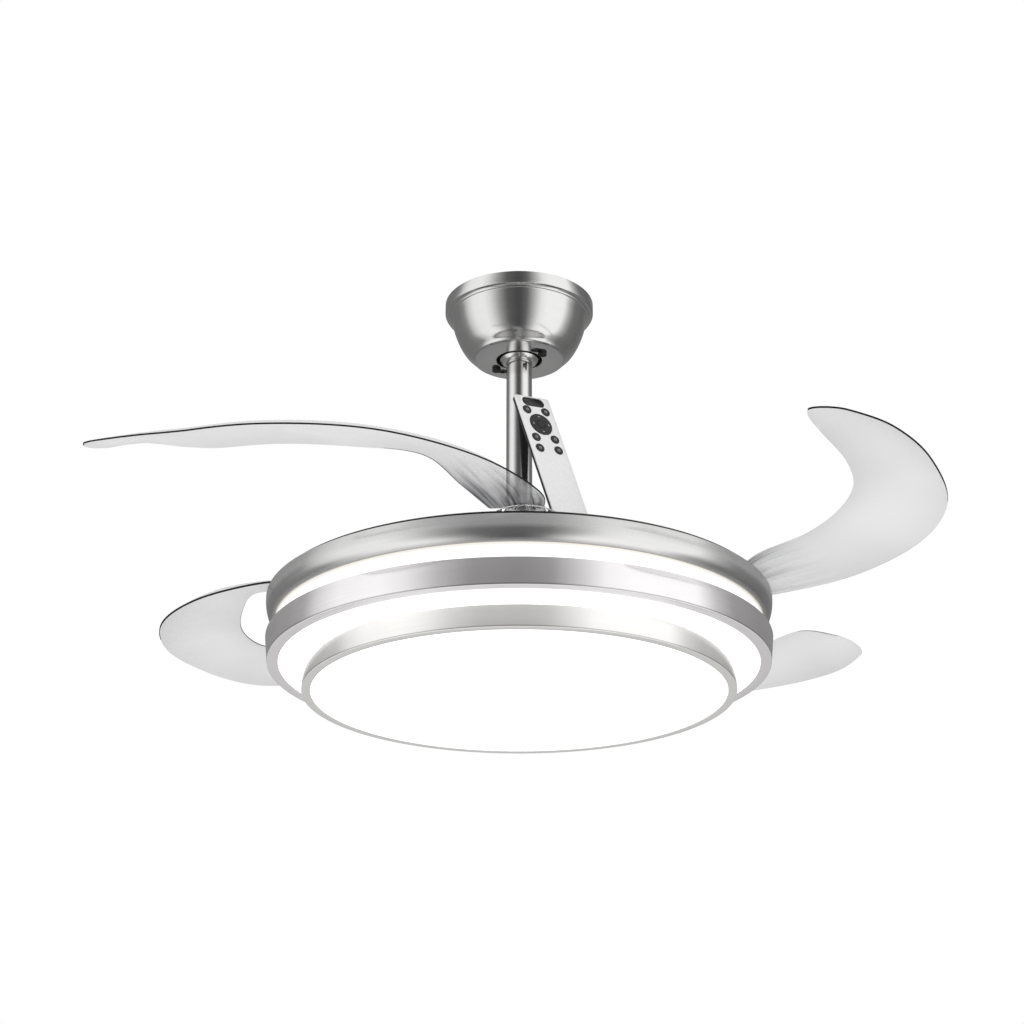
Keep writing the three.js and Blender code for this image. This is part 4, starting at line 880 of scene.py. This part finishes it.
def slab_mesh(name, width, length, corner, rings, centre, steps=6):
    """Rounded rectangle stacked up from [inset, height] rings, in mm."""
    made = bmesh.new()
    rows = []
    for inset, z in rings:
        radius = max(corner - inset, 0.2)
        x, y = width / 2 - inset - radius, length / 2 - inset - radius
        row = []
        for quarter, (sx, sy) in enumerate(((1, 1), (-1, 1), (-1, -1), (1, -1))):
            for k in range(steps + 1):
                spot = Vector((sx * x, sy * y, 0)) + polar(radius, 90 * (quarter + k / steps))
                row.append(made.verts.new(((spot.x + centre[0]) * MM, (spot.y + centre[1]) * MM, z * MM)))
        rows.append(row)
    for a, b in zip(rows, rows[1:]):
        for k in range(len(a)):
            n = (k + 1) % len(a)
            made.faces.new([a[k], a[n], b[n], b[k]])
    made.faces.new(rows[0])
    made.faces.new(rows[-1])
    bmesh.ops.recalc_face_normals(made, faces=made.faces)
    mesh = bpy.data.meshes.new(name)
    made.to_mesh(mesh)
    made.free()
    shade(mesh)
    return mesh


def remote_piece(name, mesh, body, material, node_names, at=(0, 0)):
    """Adds a piece that is modelled in the remote's own frame."""
    placed = REMOTE_FRAME @ Matrix.Translation((at[0] * MM, at[1] * MM, 0))
    return add_object(name, moved(mesh, placed), body, material, node_names)


middle = (0, -REMOTE_LENGTH / 2)
shell_rings = [(4.2, 0), (3, 0.3), (1.3, 2), (0.5, 4), (0.2, 6.1)]
shell = slab_mesh("shell", REMOTE_WIDTH, REMOTE_LENGTH, 3, shell_rings, middle)
hollow = slab_mesh("hollow", REMOTE_WIDTH, REMOTE_LENGTH, 3, [(5.2, 1.6), (2.4, 6.6)], middle)
mouth = box_mesh((-12.8, -REMOTE_LENGTH - 1, 1.6), (12.8, -121.6, 5.8))
pocket = rod_mesh(7.3, -1, 3.1, 32, -1.88, -14)
remote_piece("remote_shell", carve(shell, [hollow, mouth, pocket]), "remote", black_plastic, ["remote_back"])
face_rings = [(0, 6.4), (0, 7.4), (0.2, 7.8), (0.6, 8)]
face = slab_mesh("face", REMOTE_WIDTH, REMOTE_LENGTH, 3, face_rings, middle)
openings = [rod_mesh(KEY_RADIUS + KEY_FIT, 5, 10, 40, *spot) for spot in KEY_SPOTS]
openings.append(rod_mesh(PAD_RADIUS + KEY_FIT, 5, 10, 72, *PAD_SPOT))
opening_size = [side + 2 * WINDOW_FIT for side in WINDOW_SIZE]
openings.append(slab_mesh("opening", *opening_size, opening_size[1] / 2, [(0, 5), (0, 10)], WINDOW_SPOT, 10))
remote_piece("remote_face", carve(face, openings), "remote", silver_plastic, ["remote_front"])
pane_rings = [(0, 4.5), (0, 7.2), (0.4, 7.6), (1.2, 7.8)]
pane = slab_mesh("pane", *WINDOW_SIZE, WINDOW_SIZE[1] / 2, pane_rings, WINDOW_SPOT, 10)
remote_piece("remote_pane", pane, "remote", gloss_black, ["remote_window"])

# Each key has a flange under the face and a hollow in its top, with a printed ring in it.
key_profile = [(0, KEY_SEAT), (KEY_RADIUS + 0.5, KEY_SEAT), (KEY_RADIUS + 0.5, KEY_FLANGE),
               (KEY_RADIUS, KEY_FLANGE), (KEY_RADIUS, KEY_TOP), (3.8, KEY_TOP), (1.8, 8.7), (0, 8.65)]
mark_profile = [(1.0, MARK_BOTTOM), (1.6, MARK_BOTTOM), (1.6, 8.86), (1.0, 8.86)]
for i, spot in enumerate(KEY_SPOTS, 1):
    key = lathe_mesh("key", key_profile, 48, closed=False, round_by=0.5)
    remote_piece(f"key_cap_{i}", key, f"key_{i}", key_plastic, [f"remote_button_{i}"], spot)
    mark = lathe_mesh("mark", mark_profile, 32, round_by=0)
    remote_piece(f"key_mark_{i}", mark, f"key_{i}", print_grey, [], spot)
pad_bore = CENTRE_RADIUS + KEY_FIT
pad_profile = [(pad_bore, KEY_SEAT), (14.2, KEY_SEAT), (14.2, KEY_FLANGE), (PAD_RADIUS, KEY_FLANGE),
               (PAD_RADIUS, KEY_TOP), (11.6, 8.9), (6.2, 8.4), (5.6, 8.8), (pad_bore, 8.8)]
pad = lathe_mesh("pad", pad_profile, 96, round_by=0.4)
remote_piece("pad_ring", pad, "pad", key_plastic, ["direction_pad"], PAD_SPOT)
for i in range(4):
    spot = polar(9.6, 90 * i)
    bar = (1.0, 2.8) if i % 2 == 0 else (2.8, 1.0)
    mark = slab_mesh("mark", *bar, 0.4, [(0, MARK_BOTTOM), (0, 8.88)], (spot.x, spot.y), 3)
    remote_piece(f"pad_mark_{i + 1}", mark, "pad", print_grey, [], PAD_SPOT)
centre_profile = [(0, KEY_SEAT), (CENTRE_RADIUS, KEY_SEAT), (CENTRE_RADIUS, KEY_TOP), (3.4, KEY_TOP),
                  (0, 8.8)]
centre = lathe_mesh("centre", centre_profile, 48, closed=False, round_by=0.5)
remote_piece("centre_cap", centre, "center", key_plastic, ["center_button"], PAD_SPOT)


# ---- camera -----------------------------------------------------------------------------------

CAMERA_DISTANCE = 1.9
CAMERA_HEIGHT = -1.0082
CAMERA_PITCH = 22.07
PICTURE_PIXELS = 1024
FOCAL_PIXELS = 1995.0
CENTRE_COLUMN = 519.2
SENSOR_WIDTH = 36

camera = bpy.data.cameras.new("camera")
camera.sensor_width = SENSOR_WIDTH
camera.lens = SENSOR_WIDTH * FOCAL_PIXELS / PICTURE_PIXELS
camera.shift_x = -(CENTRE_COLUMN - PICTURE_PIXELS / 2) / PICTURE_PIXELS
camera_object = bpy.data.objects.new("camera", camera)
camera_object.location = (0, -CAMERA_DISTANCE, CAMERA_HEIGHT)
camera_object.rotation_euler = (math.radians(90 + CAMERA_PITCH), 0, 0)
scene.collection.objects.link(camera_object)
scene.camera = camera_object


# ---- studio, light and floor ------------------------------------------------------------------

# Grey of the studio by azimuth: 0 is behind the camera, 90 on its right.
STUDIO_GREYS = [(-180, 0.26), (-165, 0.22), (-150, 0.17), (-120, 0.18), (-105, 0.25), (-95, 0.62),
                (-82, 0.90), (-60, 0.96), (-48, 0.78), (-34, 0.36), (-20, 0.11), (0, 0.06), (13, 0.12),
                (26, 0.50), (36, 0.88), (48, 1.0), (80, 1.0), (92, 0.42), (104, 0.17), (130, 0.13),
                (150, 0.17), (165, 0.22), (180, 0.26)]
TENT_RADIUS = 3200.0
TENT_CENTRE = -0.35
TENT_STRENGTH = 1.05


def tent_look():
    """Emission whose grey goes round the Z axis as STUDIO_GREYS says."""
    material = bpy.data.materials.new("light_tent")
    material.use_nodes = True
    tree = material.node_tree
    tree.nodes.clear()

    def add(kind, *sources, operation=None):
        node = tree.nodes.new(kind)
        if operation:
            node.operation = operation
        for socket, source in zip(node.inputs, sources):
            if isinstance(source, (int, float)):
                socket.default_value = source
            else:
                tree.links.new(source, socket)
        return node.outputs

    x, y, _ = add("ShaderNodeSeparateXYZ", add("ShaderNodeTexCoord")["Object"])
    back = add("ShaderNodeMath", y, -1.0, operation="MULTIPLY")[0]
    azimuth = add("ShaderNodeMath", x, back, operation="ARCTAN2")[0]
    turn = add("ShaderNodeMapRange", azimuth, -math.pi, math.pi, 0, 1)[0]
    grey_of = add("ShaderNodeValToRGB", turn)[0]
    elements = grey_of.node.color_ramp.elements
    while len(elements) < len(STUDIO_GREYS):
        elements.new(0.5)
    for element, (degrees, grey) in zip(elements, STUDIO_GREYS):
        element.position = (degrees + 180) / 360
        element.color = (grey, grey, grey, 1)
    add("ShaderNodeOutputMaterial", add("ShaderNodeEmission", grey_of, TENT_STRENGTH)[0])
    return material


def light_tent():
    """Shell of soft light round the object, which only reflections see."""
    arc = [polar(TENT_RADIUS, angle) for angle in range(-90, 91, 6)]
    profile = [(max(at.x, 0), at.y) for at in arc]
    mesh = lathe_mesh("light_tent", profile, 96, closed=False, round_by=0)
    mesh.materials.append(tent_look())
    tent = bpy.data.objects.new("light_tent", mesh)
    tent.location = (0, 0, TENT_CENTRE)
    scene.collection.objects.link(tent)
    tent.visible_camera = False
    tent.visible_diffuse = False
    tent.visible_transmission = False
    tent.visible_shadow = False


light_tent()

AMBIENT_STRENGTH = 0.62


def make_world():
    """White where it is seen, directly, in reflections or through glass, and weaker as a light."""
    world = bpy.data.worlds.new("world")
    scene.world = world
    world.use_nodes = True
    tree = world.node_tree
    tree.nodes.clear()
    paths = tree.nodes.new("ShaderNodeLightPath")
    seen = paths.outputs["Is Camera Ray"]
    for ray in ("Is Glossy Ray", "Is Transmission Ray"):
        greater = tree.nodes.new("ShaderNodeMath")
        greater.operation = "MAXIMUM"
        tree.links.new(seen, greater.inputs[0])
        tree.links.new(paths.outputs[ray], greater.inputs[1])
        seen = greater.outputs[0]
    either = tree.nodes.new("ShaderNodeMixShader")
    tree.links.new(seen, either.inputs["Fac"])
    for socket, strength in zip(either.inputs[1:], (AMBIENT_STRENGTH, 1.0)):
        background = tree.nodes.new("ShaderNodeBackground")
        background.inputs["Color"].default_value = (1, 1, 1, 1)
        background.inputs["Strength"].default_value = strength
        tree.links.new(background.outputs[0], socket)
    output = tree.nodes.new("ShaderNodeOutputWorld")
    tree.links.new(either.outputs[0], output.inputs["Surface"])


make_world()


LIGHT_AIM = Vector((0, 0, -0.3))
LIGHT_SIZE = 1.6


def area_light(name, place, power):
    data = bpy.data.lights.new(name, "AREA")
    data.shape = "RECTANGLE"
    data.size = data.size_y = LIGHT_SIZE
    data.energy = power
    lamp = bpy.data.objects.new(name, data)
    lamp.location = place
    lamp.rotation_euler = (LIGHT_AIM - Vector(place)).to_track_quat("-Z", "Y").to_euler()
    lamp.visible_glossy = False
    lamp.visible_camera = False
    scene.collection.objects.link(lamp)


area_light("key_light", (1.4, -2.4, 0.3), power=22)
area_light("fill_light", (-1.8, -1.6, -0.9), power=10)

FLOOR_HEIGHT = -2.4
FLOOR_HALF = 40
FLOOR_LIFT = 0.33  # light added where the camera sees the floor, so that it is nearly white


def floor_look():
    m = Nodes("floor", (0.93, 0.93, 0.93), 0.6)
    tones = m.ramp(m.noise(3, 3), [(0.3, (0.92, 0.92, 0.92)), (0.7, (0.95, 0.95, 0.95))])
    m.link(tones, m.shader.inputs["Base Color"])
    seen = m.add("ShaderNodeLightPath").outputs["Is Camera Ray"]
    m.set("Emission Color", (1, 1, 1, 1))
    m.link(m.math("MULTIPLY", seen, FLOOR_LIFT), m.shader.inputs["Emission Strength"])
    return m.material


def add_floor():
    mesh = bpy.data.meshes.new("floor")
    corners = [(FLOOR_HALF * x, FLOOR_HALF * y, 0) for x, y in ((-1, -1), (1, -1), (1, 1), (-1, 1))]
    mesh.from_pydata(corners, [], [(0, 1, 2, 3)])
    mesh.materials.append(floor_look())
    floor = bpy.data.objects.new("floor", mesh)
    floor.location = (0, 0, FLOOR_HEIGHT)
    floor.visible_glossy = False
    scene.collection.objects.link(floor)


add_floor()

scene.view_settings.view_transform = "Standard"
